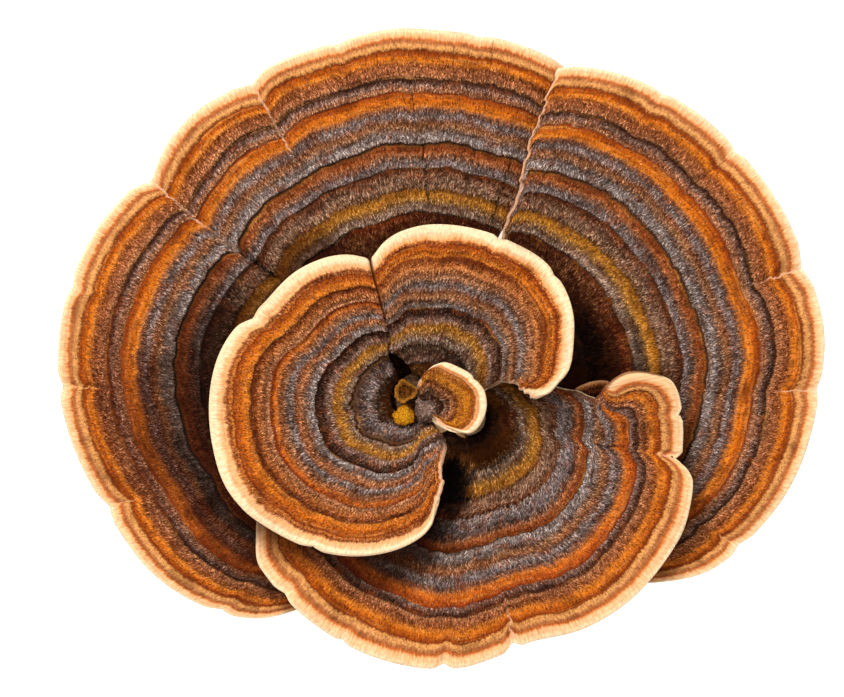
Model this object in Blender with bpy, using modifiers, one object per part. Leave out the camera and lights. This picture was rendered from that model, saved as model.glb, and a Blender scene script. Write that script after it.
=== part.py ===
"""Turkey tail fungus: a rosette of thin banded caps on one woody foot, cut off flat from its log.

Metres, +Z up. The origin is the middle of the flat cut face, which the foot rests on. Seen from
straight above, +X is to the right and +Y is up.

Each cap is a fan-shaped sheet. It grows outward from a small ring round its neck of the foot, and a
point on it has two numbers: across, from 0 at the clockwise side edge to 1 at the other one, and
grown, from 0 at the ring to 1 at the rim. Lengths below are in millimetres and angles in degrees,
counted anticlockwise from +X, until a point is placed.
"""

import math
from dataclasses import dataclass
from functools import partial

import bmesh
import bpy
from mathutils import Vector

MM = 0.001
COLLECTION = "turkey tail fungus"

# Shape shared by all the caps
RISE_POWER = 1.6        # a cap rises steeply at its ring and flattens towards its rim
NOTCH_REACH = 0.6       # a notch in the rim has faded out at this share of the growth
CREASE = 0.35           # depth of the crease behind a notch, as a share of the notch's depth
LEDGE_POWER = 1.5       # a cap ramps up to each ledge ever more steeply
LEDGE_DROP = 0.02       # share of the growth over which a ledge drops
INNER_ROWS = (0.0, 0.13, 0.27, 0.41)
ROW_SPACE = 0.04        # least share of the growth between an inner row and the first ledge
RING_POWER = 3          # a cap's bands shift towards its ring's middle by this power

# The crack between the upper cap's two lobes is open up to here, and closed by there
CRACK_OPEN = 0.27
CRACK_CLOSED = 0.36
CRACK_BLEND = 0.3       # share of the right lobe that bends to meet the left one


@dataclass
class Cap:
    """One fan-shaped sheet, or one lobe of it."""

    centre: tuple       # point that its growth bands circle
    ring: tuple         # middle of its inner edge, round the foot's neck
    ring_radius: float
    ring_height: float  # of the upper face
    rim: tuple          # (angle, radius about the centre)
    rim_height: tuple   # (angle, height of the upper face)
    side_0: tuple       # (grown, angle) of the clockwise side edge
    side_1: tuple       # (grown, angle) of the other side edge
    notches: tuple      # (angle, depth, half width in degrees)
    ledges: tuple       # shares of the growth where the surface steps down
    ledge_height: float = 0.35


BACK_LEFT = Cap(
    centre=(0.0, 0.0),
    ring=(0.0, 0.0),
    ring_radius=5.3,
    ring_height=9.0,
    rim=(
        (60, 46.0), (66, 49.8), (72, 51.9), (80, 52.7), (90, 53.2), (98, 53.9), (107, 53.7),
        (116, 54.1), (123, 53.9), (130, 54.5), (136, 54.2), (141, 53.3), (147, 54.3), (154, 55.4),
        (164, 55.9), (176, 55.3), (186, 53.7), (200, 50.5), (210, 48.8), (220, 45.8), (230, 41.4),
        (240, 33.0), (250, 24.0),
    ),
    rim_height=(
        (64, 14.6), (76, 16.4), (90, 17.6), (106, 16.4), (121, 15.0), (132, 16.6), (143, 14.8),
        (156, 16.6), (170, 17.8), (186, 16.2), (198, 14.9), (212, 15.9), (226, 14.8), (240, 13.4),
    ),
    side_0=((0.0, 71.5), (0.3, 71.5), (0.45, 69.5), (0.65, 67.0), (1.0, 66.5)),
    side_1=((0.0, 250.0), (0.5, 247.0), (0.8, 243.0), (0.95, 239.0), (1.0, 236.5)),
    notches=(
        (84, 0.4, 2.5), (106, 0.4, 2.0), (120.9, 0.9, 2.2), (143.0, 1.1, 2.2), (163, 0.5, 2.5),
        (178, 0.7, 2.5), (198, 0.7, 3.0), (224, 0.6, 2.5),
    ),
    ledges=(0.457, 0.664, 0.815, 0.934),
)

BACK_RIGHT = Cap(
    centre=(0.0, 0.0),
    ring=(0.0, 0.0),
    ring_radius=5.3,
    ring_height=9.0,
    rim=(
        (-52, 31.0), (-46, 36.5), (-40, 41.2), (-32, 46.3), (-24, 49.2), (-14, 52.1), (0, 54.7),
        (12, 56.4), (28, 56.5), (44, 55.9), (56, 54.5), (64, 52.9), (70, 50.8), (76, 46.0),
    ),
    rim_height=(
        (-46, 13.8), (-36, 15.6), (-26, 14.8), (-12, 16.8), (1, 15.4), (10, 16.8), (20, 15.4),
        (30, 17.2), (40, 16.2), (52, 17.4), (62, 17.6), (70, 18.0),
    ),
    side_0=((0.0, -56.0), (0.5, -53.0), (0.8, -49.0), (0.95, -44.5), (1.0, -42.0)),
    side_1=((0.0, 68.8), (0.4, 69.2), (0.6, 69.6), (0.8, 70.9), (1.0, 70.3)),
    notches=((-26, 0.6, 2.5), (1.5, 0.5, 2.0), (20, 0.9, 2.4), (40, 0.5, 2.0), (54, 0.4, 2.0)),
    ledges=(0.457, 0.664, 0.815, 0.934),
)
# The right cap climbs over the left one's edge by this height, over these angles. The climb comes
# in over the first of these shares of the growth, and goes out over the second.
CLIMB = 3.0
CLIMB_FROM = 48.0
CLIMB_TO = 68.0
CLIMB_IN = (0.1, 0.45)
CLIMB_OUT = (0.5, 1.2)

FRONT = Cap(
    centre=(4.3, -2.8),
    ring=(4.2, -2.7),
    ring_radius=2.9,
    ring_height=12.3,
    rim=(
        (-166, 29.0), (-160, 32.0), (-152, 34.9), (-145, 36.9), (-135, 36.9), (-120, 36.9),
        (-106, 36.5), (-92, 35.6), (-84, 34.4), (-74, 33.1), (-60, 34.2), (-46, 34.6), (-30, 34.6),
        (-20, 33.8), (-15, 33.2), (-10, 31.0), (-2, 30.6), (6, 30.2), (10.6, 29.5), (14, 27.6),
        (20, 25.6), (40, 24.0), (75, 22.0),
    ),
    rim_height=(
        (-162, 18.6), (-150, 19.4), (-136, 20.8), (-120, 19.4), (-104, 21.0), (-90, 20.2),
        (-79, 19.0), (-66, 20.6), (-48, 21.4), (-32, 20.2), (-20, 21.2), (-10, 20.0), (2, 21.8),
        (14, 23.2), (40, 22.6),
    ),
    side_0=((0.0, -150.0), (0.3, -157.0), (0.6, -163.0), (0.9, -162.0), (1.0, -160.0)),
    side_1=(
        (0.0, 85.0), (0.12, 75.0), (0.3, 45.0), (0.44, 19.0), (0.5, 13.0), (0.55, 8.2),
        (0.63, 10.4), (0.69, 12.2), (0.77, 15.6), (0.86, 16.9), (0.94, 15.6), (1.0, 12.6),
    ),
    notches=(
        (-137, 0.5, 3.0), (-120, 0.4, 2.0), (-96, 0.8, 2.5), (-79, 1.0, 2.5), (-10.5, 0.9, 2.2),
        (1.5, 0.5, 2.0),
    ),
    ledges=(0.496, 0.73, 0.89),
)

UPPER_LEFT = Cap(
    centre=(-5.0, 0.1),
    ring=(-3.9, 0.2),
    ring_radius=3.2,
    ring_height=15.2,
    rim=(
        (104, 20.6), (112, 22.2), (121, 23.2), (132, 23.9), (143, 24.1), (151, 24.8), (158, 26.3),
        (168, 27.3), (182, 27.9), (194, 28.2), (204, 28.4), (214, 27.9), (224, 26.7), (236, 25.3),
        (249, 23.8), (260, 22.4), (270, 20.9), (278, 19.4), (283, 17.9), (287, 16.3), (300, 16.0),
    ),
    rim_height=(
        (104, 24.4), (118, 26.4), (134, 27.0), (150, 26.0), (170, 27.4), (190, 26.2), (210, 27.2),
        (232, 25.6), (250, 26.8), (268, 25.8), (284, 25.4), (320, 25.2),
    ),
    side_0=((0.0, 122.0), (0.13, 117.0), (0.27, 109.0), (0.36, 104.5), (1.0, 104.0)),
    side_1=(
        (0.0, 312.0), (0.15, 313.0), (0.33, 312.0), (0.43, 306.0), (0.57, 299.0), (0.74, 294.5),
        (0.84, 290.0), (0.93, 287.0), (1.0, 283.0),
    ),
    notches=((152, 0.5, 4.0), (238, 0.4, 4.0)),
    ledges=(0.414, 0.66, 0.86),
)

UPPER_RIGHT = Cap(
    centre=(-1.5, 0.8),
    ring=(-3.9, 0.2),
    ring_radius=3.2,
    ring_height=15.2,
    rim=(
        (-6, 14.8), (-1.3, 15.6), (1, 17.0), (4.5, 18.1), (10, 20.0), (20, 21.7), (30, 23.4),
        (40, 24.5), (50, 25.0), (62, 24.6), (76, 24.4), (90, 24.2), (100, 23.6), (106, 22.8),
        (113, 21.2), (140, 19.0),
    ),
    rim_height=(
        (-10, 25.0), (10, 26.0), (30, 27.2), (50, 26.2), (66, 27.4), (84, 26.4), (100, 26.0),
        (113, 24.4),
    ),
    side_0=(
        (0.0, -8.0), (0.25, 2.0), (0.42, 8.0), (0.54, 7.7), (0.67, 4.3), (0.78, 1.0), (0.9, -1.2),
        (1.0, -1.0),
    ),
    side_1=(
        (0.0, 85.0), (0.06, 98.0), (0.13, 109.0), (0.19, 115.0), (0.26, 122.0), (0.36, 126.0),
        (0.43, 126.5), (0.55, 121.6), (0.67, 118.6), (0.86, 115.5), (1.0, 113.0),
    ),
    notches=((44, 0.3, 3.0), (66, 0.4, 3.0)),
    ledges=(0.498, 0.66, 0.86),
)

CENTRE = Cap(
    centre=(-2.2, -1.0),
    ring=(-1.9, -1.1),
    ring_radius=1.0,
    ring_height=19.0,
    rim=(
        (-44, 3.0), (-37, 5.4), (-30, 7.5), (-19, 8.2), (-8, 8.6), (4, 8.8), (14, 8.8), (24, 8.4),
        (36, 8.0), (50, 7.4), (66, 7.0), (77, 6.2), (88, 5.2), (98, 4.2),
    ),
    rim_height=((-44, 23.2), (-20, 24.6), (10, 26.0), (45, 26.2), (80, 25.0), (98, 23.6)),
    side_0=((0.0, -55.0), (0.6, -46.0), (1.0, -38.0)),
    side_1=((0.0, 130.0), (0.5, 112.0), (1.0, 95.0)),
    notches=((30, 0.25, 4.0),),
    ledges=(0.62,),
    ledge_height=0.16,
)

FLAP = Cap(
    centre=(22.6, -0.6),
    ring=(22.4, -0.7),
    ring_radius=1.2,
    ring_height=16.2,
    rim=((30, 3.4), (58, 3.6), (75, 3.4), (98, 3.2), (125, 3.3), (145, 3.7), (170, 3.8)),
    rim_height=((30, 16.6), (70, 17.2), (110, 17.6), (150, 17.0)),
    side_0=((0.0, 20.0), (1.0, 38.0)),
    side_1=((0.0, 175.0), (1.0, 158.0)),
    notches=(),
    ledges=(0.7,),
    ledge_height=0.1,
)

# Thickness of a sheet at (grown) from its ring to its rim
THICK_LARGE = ((0.0, 2.5), (0.5, 1.7), (0.9, 1.2), (1.0, 0.8))
THICK_FRONT = ((0.0, 2.0), (0.5, 1.7), (0.9, 1.2), (1.0, 0.85))
THICK_UPPER = ((0.0, 2.0), (0.5, 1.6), (0.9, 1.25), (1.0, 0.95))
THICK_CENTRE = ((0.0, 0.6), (0.5, 0.9), (1.0, 0.7))
THICK_FLAP = ((0.0, 0.7), (1.0, 0.45))
SIDE_THIN = 0.3         # share of the thickness that is left at a side edge
SIDE_SPAN = 0.08        # share of the width over which a cap thins towards it

# Faces across each sheet, and the rows of the two small ones
BACK_LEFT_COLUMNS = 40
BACK_RIGHT_COLUMNS = 28
FRONT_COLUMNS = 34
UPPER_LEFT_COLUMNS = 29
UPPER_RIGHT_COLUMNS = 21
CENTRE_COLUMNS = 14
FLAP_COLUMNS = 8
CENTRE_ROWS = (0.0, 0.35, 0.62, 0.64, 0.85, 1.0)
FLAP_ROWS = (0.0, 0.4, 0.7, 0.73, 1.0)

# The foot, as rings from the cut upward: (height, x, y, radius)
FOOT_RINGS = (
    (0.0, 0.0, 0.0, 13.6), (0.8, 0.0, 0.0, 13.8), (2.2, 0.0, 0.0, 11.9), (3.8, 0.0, 0.0, 8.6),
    (5.2, 0.0, 0.0, 6.2), (6.2, 0.0, 0.0, 5.0), (9.1, 0.0, 0.0, 4.9), (9.8, -0.9, 0.1, 4.4),
    (11.2, -2.2, 0.15, 4.0), (12.4, -3.3, 0.2, 3.4), (13.1, -3.9, 0.2, 2.85),
    (14.7, -3.9, 0.2, 2.8), (15.2, -3.9, 0.2, 2.2),
)
FOOT_SIDES = 24
# Lumps round the foot's base: (how many, share of the radius, turn in degrees)
FOOT_LUMPS = ((2, 0.07, 20.0), (3, 0.07, 40.0), (5, 0.05, 100.0), (8, 0.03, 10.0))
FOOT_LUMPS_END = 6.0    # height where they have faded out

# The neck that forks off towards the front cap
NECK_RINGS = (
    (7.4, 0.6, -0.4, 2.6), (9.0, 1.8, -1.15, 2.55), (10.1, 3.4, -2.2, 2.5),
    (11.6, 4.2, -2.7, 2.5), (12.1, 4.2, -2.7, 1.9),
)
NECK_SIDES = 14

# The grey knob on the centre cap's root: middle and half sizes
KNOB_MIDDLE = (-1.9, -1.1, 18.0)
KNOB_SIZE = (1.65, 1.5, 2.1)
KNOB_SEGMENTS = 14
KNOB_RINGS = 8

# The buds, as rings like the foot's, each with a frill: (how many waves, share of the radius)
BROWN_BUD_RINGS = (
    (15.55, -4.7, 1.0, 0.75), (16.3, -4.8, 1.1, 0.8), (17.1, -4.95, 1.3, 1.4),
    (17.6, -5.0, 1.35, 1.5), (17.4, -5.0, 1.35, 1.05), (17.1, -5.0, 1.35, 0.5),
)
GOLD_BUD_RINGS = (
    (15.55, -4.7, -1.2, 0.7), (16.2, -4.9, -1.6, 0.8), (16.9, -5.1, -2.05, 1.2),
    (17.4, -5.2, -2.2, 1.35), (17.9, -5.1, -2.1, 1.0), (18.15, -5.05, -2.05, 0.5),
)
BUD_SIDES = 20
BUD_FRILL = (7, 0.12)

# Colours by eye, as linear light, with roughness
CAP_BROWN = (0.26, 0.11, 0.05), 0.8
FOOT_TAN = (0.55, 0.38, 0.2), 0.9
KNOB_GREY = (0.33, 0.2, 0.09), 0.85
BUD_BROWN = (0.16, 0.07, 0.03), 0.85
BUD_GOLD = (0.5, 0.3, 0.04), 0.7


def smooth_curve(points, at):
    """Value at one place of the smooth curve through (place, value) points, level past its ends."""
    if at <= points[0][0]:
        return points[0][1]
    if at >= points[-1][0]:
        return points[-1][1]
    last = next(i for i in range(1, len(points)) if at <= points[i][0])
    (x0, y0), (x1, y1) = points[last - 1], points[last]
    step = x1 - x0
    rise = (y1 - y0) / step
    slopes = []
    for here, neighbour in ((last - 1, last - 2), (last, last + 1)):
        if 0 <= neighbour < len(points):
            other = (points[neighbour][1] - points[here][1]) / (points[neighbour][0] - points[here][0])
            slopes.append(0.0 if other * rise <= 0 else 2 * other * rise / (other + rise))
        else:
            slopes.append(rise)
    part = (at - x0) / step
    bend_0 = (slopes[0] - rise) * part * (1 - part) ** 2
    bend_1 = (rise - slopes[1]) * part ** 2 * (1 - part)
    return y0 + rise * step * part + step * (bend_0 + bend_1)


def ease(start, end, value):
    """0 before start, 1 after end, and a smooth step between them."""
    part = min(max((value - start) / (end - start), 0.0), 1.0)
    return part * part * (3 - 2 * part)


def notch_depth(cap, angle, grown):
    """How far the notches draw in a growth line at this angle."""
    depth = sum(deep * max(0.0, 1 - abs(angle - at) / half) for at, deep, half in cap.notches)
    return depth * ease(NOTCH_REACH, 1.0, grown)


def ledge_height(cap, grown):
    """Height above the plain cap: it ramps up to each ledge and drops back there."""
    inner = INNER_ROWS[1]
    for outer in cap.ledges:
        if grown <= outer:
            return cap.ledge_height * max(0.0, (grown - inner) / (outer - inner)) ** LEDGE_POWER
        inner = outer + LEDGE_DROP
        if grown <= inner:
            return cap.ledge_height * (inner - grown) / LEDGE_DROP
    return 0.0


def sheet_point(cap, across, grown):
    """A point on a cap's upper face."""
    edge_0 = smooth_curve(cap.side_0, grown)
    edge_1 = smooth_curve(cap.side_1, grown)
    angle = edge_0 + (edge_1 - edge_0) * across
    notch = notch_depth(cap, angle, grown)
    radius = cap.ring_radius + (smooth_curve(cap.rim, angle) - notch - cap.ring_radius) * grown
    to_ring = (1 - grown) ** RING_POWER
    x, y = (c + (r - c) * to_ring for c, r in zip(cap.centre, cap.ring))
    rise = 1 - (1 - grown) ** RISE_POWER
    height = cap.ring_height + (smooth_curve(cap.rim_height, angle) - cap.ring_height) * rise
    height += ledge_height(cap, grown) - CREASE * notch
    turn = math.radians(angle)
    return Vector((x + radius * math.cos(turn), y + radius * math.sin(turn), height))


def back_right_point(across, grown):
    """The right cap, whose last degrees climb over the left cap's edge."""
    point = sheet_point(BACK_RIGHT, across, grown)
    angle = math.degrees(math.atan2(point.y, point.x))
    climb = CLIMB * ease(CLIMB_FROM, CLIMB_TO, angle)
    climb *= ease(*CLIMB_IN, grown) * (1 - ease(*CLIMB_OUT, grown))
    return point + Vector((0, 0, climb))


def upper_right_point(across, grown):
    """The upper cap's right lobe, bent so that it meets the left one along their seam."""
    point = sheet_point(UPPER_RIGHT, across, grown)
    meeting = sheet_point(UPPER_LEFT, 0.0, grown) - sheet_point(UPPER_RIGHT, 1.0, grown)
    near = ease(1 - CRACK_BLEND, 1.0, across) * ease(CRACK_OPEN, CRACK_CLOSED, grown)
    return point + meeting * near


def cap_columns(cap, count):
    """Where a cap's columns stand: evenly spread, with one at each notch and at both its sides."""
    start, end = cap.side_0[-1][1], cap.side_1[-1][1]
    columns = [i / count for i in range(count + 1)]
    for at, _, half in cap.notches:
        for angle in (at - half, at, at + half):
            place = (angle - start) / (end - start)
            if 0 < place < 1:
                nearest = min(columns[1:-1], key=lambda column: abs(column - place))
                columns[columns.index(nearest)] = place
    return sorted(columns)


def cap_rows(*caps):
    """Rows of a cap, or of two that share a seam: the inner ones, two at each ledge, and the rim."""
    ledges = sorted({ledge for cap in caps for ledge in cap.ledges})
    steps = [row for ledge in ledges for row in (ledge, ledge + LEDGE_DROP)]
    return [*(row for row in INNER_ROWS if row < ledges[0] - ROW_SPACE), *steps, 1.0]


def add_grid(mesh, columns, rows, place, thickness):
    """Add a grid of quads whose corners stand where place says, and note its thickness there."""
    weights = mesh.verts.layers.deform.verify()
    grid = bmesh.ops.create_grid(mesh, x_segments=len(columns) - 1, y_segments=len(rows) - 1, size=0.5)
    thickest = max(value for _, value in thickness)
    for corner in grid["verts"]:
        across = columns[round((0.5 - corner.co.x) * (len(columns) - 1))]
        grown = rows[round((corner.co.y + 0.5) * (len(rows) - 1))]
        corner.co = place(across, grown) * MM
        inside = ease(0.0, SIDE_SPAN, min(across, 1 - across))
        thin = SIDE_THIN + (1 - SIDE_THIN) * inside
        corner[weights][0] = smooth_curve(thickness, grown) / thickest * thin


def material(name, look):
    colour, roughness = look
    made = bpy.data.materials.new(name)
    made.use_nodes = True
    shader = made.node_tree.nodes["Principled BSDF"]
    shader.inputs["Base Color"].default_value = (*colour, 1.0)
    shader.inputs["Roughness"].default_value = roughness
    shader.inputs["Metallic"].default_value = 0.0
    made.diffuse_color = (*colour, 1.0)
    return made


def add_object(name, mesh, collection, look):
    """Turn a bmesh into an object of the collection, shaded smooth."""
    data = bpy.data.meshes.new(name)
    mesh.to_mesh(data)
    mesh.free()
    data.shade_smooth()
    data.materials.append(material(name, look))
    made = bpy.data.objects.new(name, data)
    collection.objects.link(made)
    return made


def add_sheet(name, grids, thickness, collection, look=CAP_BROWN):
    """A cap from one or two grids that share a seam, given its thickness downward."""
    mesh = bmesh.new()
    for columns, rows, place in grids:
        add_grid(mesh, columns, rows, place, thickness)
    bmesh.ops.remove_doubles(mesh, verts=mesh.verts, dist=0.01 * MM)
    made = add_object(name, mesh, collection, look)
    made.vertex_groups.new(name="thickness")
    solidify = made.modifiers.new("thickness", "SOLIDIFY")
    solidify.thickness = max(value for _, value in thickness) * MM
    solidify.offset = -1
    solidify.vertex_group = "thickness"
    solidify.thickness_vertex_group = 0.0
    return made


def ring_place(rings, sides, lumps=(), lumps_end=0.0):
    """Where the corners of a ring stack stand, from a side's and a ring's number."""

    def place(side, number):
        height, x, y, radius = rings[number]
        left = 1 - ease(0.0, lumps_end, height) if lumps_end else 1.0
        angle = 2 * math.pi * side / sides
        wave = sum(part * math.sin(count * angle + math.radians(turn)) for count, part, turn in lumps)
        reach = radius * (1 + wave * left)
        return Vector((x + reach * math.cos(angle), y + reach * math.sin(angle), height))

    return place


def ring_stack(rings, sides, lumps=(), lumps_end=0.0):
    """A closed body through all the rings: a grid wrapped into a tube, with both ends filled."""
    mesh = bmesh.new()
    place = ring_place(rings, sides, lumps, lumps_end)
    bmesh.ops.create_grid(mesh, x_segments=sides, y_segments=len(rings) - 1, size=0.5)
    for corner in mesh.verts:
        side = round((corner.co.x + 0.5) * sides)
        number = round((corner.co.y + 0.5) * (len(rings) - 1))
        corner.co = place(side, number) * MM
    bmesh.ops.remove_doubles(mesh, verts=mesh.verts, dist=0.01 * MM)
    bmesh.ops.holes_fill(mesh, edges=mesh.edges, sides=0)
    bmesh.ops.recalc_face_normals(mesh, faces=mesh.faces)
    return mesh


def join_with(main, other):
    """Join a guide solid to a piece that it grew as one with."""
    other.display_type = "WIRE"
    other.hide_render = True
    union = main.modifiers.new("join " + other.name, "BOOLEAN")
    union.operation = "UNION"
    union.object = other


def add_foot(collection, guides):
    mesh = ring_stack(FOOT_RINGS, FOOT_SIDES, FOOT_LUMPS, FOOT_LUMPS_END)
    foot = add_object("foot", mesh, collection, FOOT_TAN)
    neck = add_object("front neck", ring_stack(NECK_RINGS, NECK_SIDES), guides, FOOT_TAN)
    join_with(foot, neck)


def add_back_caps(collection):
    place = partial(sheet_point, BACK_LEFT)
    left = cap_columns(BACK_LEFT, BACK_LEFT_COLUMNS), cap_rows(BACK_LEFT), place
    right = cap_columns(BACK_RIGHT, BACK_RIGHT_COLUMNS), cap_rows(BACK_RIGHT), back_right_point
    add_sheet("back_cap_left", [left], THICK_LARGE, collection)
    add_sheet("back_cap_right", [right], THICK_LARGE, collection)


def add_front_cap(collection):
    grid = cap_columns(FRONT, FRONT_COLUMNS), cap_rows(FRONT), partial(sheet_point, FRONT)
    add_sheet("front_cap", [grid], THICK_FRONT, collection)


def add_upper_cap(collection):
    rows = cap_rows(UPPER_LEFT, UPPER_RIGHT)
    left = cap_columns(UPPER_LEFT, UPPER_LEFT_COLUMNS), rows, partial(sheet_point, UPPER_LEFT)
    right = cap_columns(UPPER_RIGHT, UPPER_RIGHT_COLUMNS), rows, upper_right_point
    add_sheet("upper_cap", [left, right], THICK_UPPER, collection)


def add_centre_cap(collection, guides):
    grid = cap_columns(CENTRE, CENTRE_COLUMNS), CENTRE_ROWS, partial(sheet_point, CENTRE)
    cap = add_sheet("centre_cap", [grid], THICK_CENTRE, collection)
    mesh = bmesh.new()
    bmesh.ops.create_uvsphere(mesh, u_segments=KNOB_SEGMENTS, v_segments=KNOB_RINGS, radius=1.0)
    for corner in mesh.verts:
        corner.co = (Vector(KNOB_MIDDLE) + corner.co * Vector(KNOB_SIZE)) * MM
    join_with(cap, add_object("knob", mesh, guides, KNOB_GREY))


def add_side_flap(collection):
    grid = cap_columns(FLAP, FLAP_COLUMNS), FLAP_ROWS, partial(sheet_point, FLAP)
    add_sheet("side_flap", [grid], THICK_FLAP, collection)


def add_buds(collection):
    for name, rings, look in (
        ("brown_bud", BROWN_BUD_RINGS, BUD_BROWN),
        ("gold_bud", GOLD_BUD_RINGS, BUD_GOLD),
    ):
        count, part = BUD_FRILL
        add_object(name, ring_stack(rings, BUD_SIDES, ((count, part, 0.0),)), collection, look)


def add_collection(name):
    made = bpy.data.collections.new(name)
    bpy.context.scene.collection.children.link(made)
    return made


def main():
    for old in list(bpy.data.objects):
        bpy.data.objects.remove(old, do_unlink=True)
    fungus = add_collection(COLLECTION)
    guides = add_collection("guides")
    add_foot(fungus, guides)
    add_back_caps(fungus)
    add_front_cap(fungus)
    add_upper_cap(fungus)
    add_centre_cap(fungus, guides)
    add_side_flap(fungus)
    add_buds(fungus)


main()
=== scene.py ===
"""The looks of a turkey tail rosette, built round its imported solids.

Metres, +Z up, in the solids' own frame. Each cap is a fan-shaped sheet with growth bands, and a
point on it has two numbers: across, from 0 at the clockwise side edge to 1 at the other one, and
grown, from 0 at the ring round the foot's neck to 1 at the rim. Lengths are in millimetres and
angles in degrees, anticlockwise from +X, until a mesh is made.
"""
import math
from dataclasses import dataclass

import bpy
import numpy as np
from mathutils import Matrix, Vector


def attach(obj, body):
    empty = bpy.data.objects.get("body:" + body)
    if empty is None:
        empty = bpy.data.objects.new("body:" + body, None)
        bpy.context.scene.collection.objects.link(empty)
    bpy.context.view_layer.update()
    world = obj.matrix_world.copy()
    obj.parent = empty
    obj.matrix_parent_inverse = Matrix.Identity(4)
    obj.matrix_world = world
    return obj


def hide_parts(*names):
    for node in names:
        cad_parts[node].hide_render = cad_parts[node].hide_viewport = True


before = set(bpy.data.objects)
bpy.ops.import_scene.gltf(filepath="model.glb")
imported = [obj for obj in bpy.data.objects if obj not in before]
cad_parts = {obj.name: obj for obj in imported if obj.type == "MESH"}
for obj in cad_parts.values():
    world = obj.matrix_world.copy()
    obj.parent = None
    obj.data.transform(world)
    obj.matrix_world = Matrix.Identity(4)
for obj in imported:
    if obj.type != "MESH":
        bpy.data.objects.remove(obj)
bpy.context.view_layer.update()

MM = 0.001
BODY = "root"


# Numbers along curves, and noise

class Curve:
    """The smooth curve through (place, value) points, level past its ends."""

    def __init__(self, *points):
        place, value = np.array(points, dtype=float).T
        rise = np.diff(value) / np.diff(place)
        slope = np.concatenate(([rise[0]], np.zeros(len(rise) - 1), [rise[-1]]))
        same_way = rise[:-1] * rise[1:] > 0
        total = np.where(same_way, rise[:-1] + rise[1:], 1.0)
        slope[1:-1] = np.where(same_way, 2 * rise[:-1] * rise[1:] / total, 0.0)
        self.at = np.linspace(place[0], place[-1], 2000)
        last = np.clip(np.searchsorted(place, self.at), 1, len(place) - 1)
        step = place[last] - place[last - 1]
        part = (self.at - place[last - 1]) / step
        bend = (slope[last - 1] - rise[last - 1]) * part * (1 - part) ** 2
        bend += (rise[last - 1] - slope[last]) * part ** 2 * (1 - part)
        self.value = value[last - 1] + step * (rise[last - 1] * part + bend)

    def __call__(self, at):
        return np.interp(at, self.at, self.value)


def ease(start, end, value):
    """0 before start, 1 after end, and a smooth step between them."""
    part = np.clip((value - start) / (end - start), 0.0, 1.0)
    return part * part * (3 - 2 * part)


def lumps(x, y, seed, octaves=1):
    """Smooth noise from -1 to 1, with about one bump for each unit of x and of y."""
    table = np.random.default_rng(seed).uniform(-1.0, 1.0, (256, 256))
    total = 0.0
    for octave in range(octaves):
        across, along = np.asarray(x) * 2 ** octave, np.asarray(y) * 2 ** octave + 37 * octave
        column, row = np.floor(across).astype(int), np.floor(along).astype(int)
        right, up = across - column, along - row
        right, up = (part * part * (3 - 2 * part) for part in (right, up))
        near = table[column & 255, row & 255] * (1 - right) + table[column + 1 & 255, row & 255] * right
        far = (table[column & 255, row + 1 & 255] * (1 - right)
               + table[column + 1 & 255, row + 1 & 255] * right)
        total = total + (near * (1 - up) + far * up) / 2 ** octave
    return total


# Colours of the growth bands, as the display shows them

PIT = (56, 29, 12)
UMBER_DARK = (84, 42, 18)
UMBER = (150, 90, 44)
# Dark lines between bands: their own dark colour, deepened with painted shade in the groove before each
# step
LINE_BLACK = (18, 8, 5)
LINE_RED = (108, 30, 6)
LINE_BROWN = (66, 26, 14)
HAIR_PALE = (224, 192, 166)
HAIR_WARM = (240, 182, 128)
GOLD = (236, 156, 38)
GOLD_DARK = (134, 78, 16)
GOLD_PALE = (248, 198, 130)
GOLD_ORANGE = (246, 152, 22)
GOLD_OLIVE = (186, 118, 32)
GREY_BROWN = (180, 136, 108)
SLATE = (170, 154, 154)
SLATE_LIGHT = (198, 184, 180)
RUST = (198, 98, 34)
RUST_DARK = (140, 64, 18)
SMOKE = (192, 120, 70)
ORANGE = (228, 118, 16)
ORANGE_DEEP = (220, 106, 22)
ORANGE_LIGHT = (244, 164, 72)
ORANGE_TAN = (226, 124, 46)
MAUVE = (178, 134, 118)
TAN_PINK = (236, 160, 110)
PINK_BROWN = (226, 136, 78)
OCHRE = (224, 156, 92)
PALE_TAN = (234, 170, 110)
PEACH = (240, 190, 138)
CREAM = (248, 218, 174)
EDGE_TAN = (228, 176, 138)
EDGE_RUST = (110, 54, 24)

# Colours of the pores below, of the foot, and of its cut face and velvety necks
PORES_PALE = (236, 214, 176)
PORES_TAN = (196, 160, 112)
PORE_HOLE_SHADE = (120, 88, 56)
WOOD_PALE = (226, 192, 144)
WOOD_TAN = (170, 122, 76)
WOOD_FIBRE = (120, 78, 44)
BARK = (104, 68, 42)
CUT_PALE = (216, 182, 134)
CUT_TAN = (160, 112, 68)
SAW_MARK = (116, 78, 46)
CUT_OUTER = (92, 60, 38)
NECK_DARK = (44, 24, 12)
NECK_BROWN = (112, 78, 52)

# Looks of the knob and the buds: dark, middle and pale colour, and the heights where it pales
KNOB_LOOK = ((40, 20, 16), (176, 136, 120), (226, 192, 172), 18.2, 21.0)
BROWN_LOOK = ((30, 12, 5), (140, 76, 22), (226, 154, 52), 17.3, 17.7)
GOLD_LOOK = ((150, 70, 6), (250, 160, 10), (252, 186, 40), 17.0, 18.4)

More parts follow.
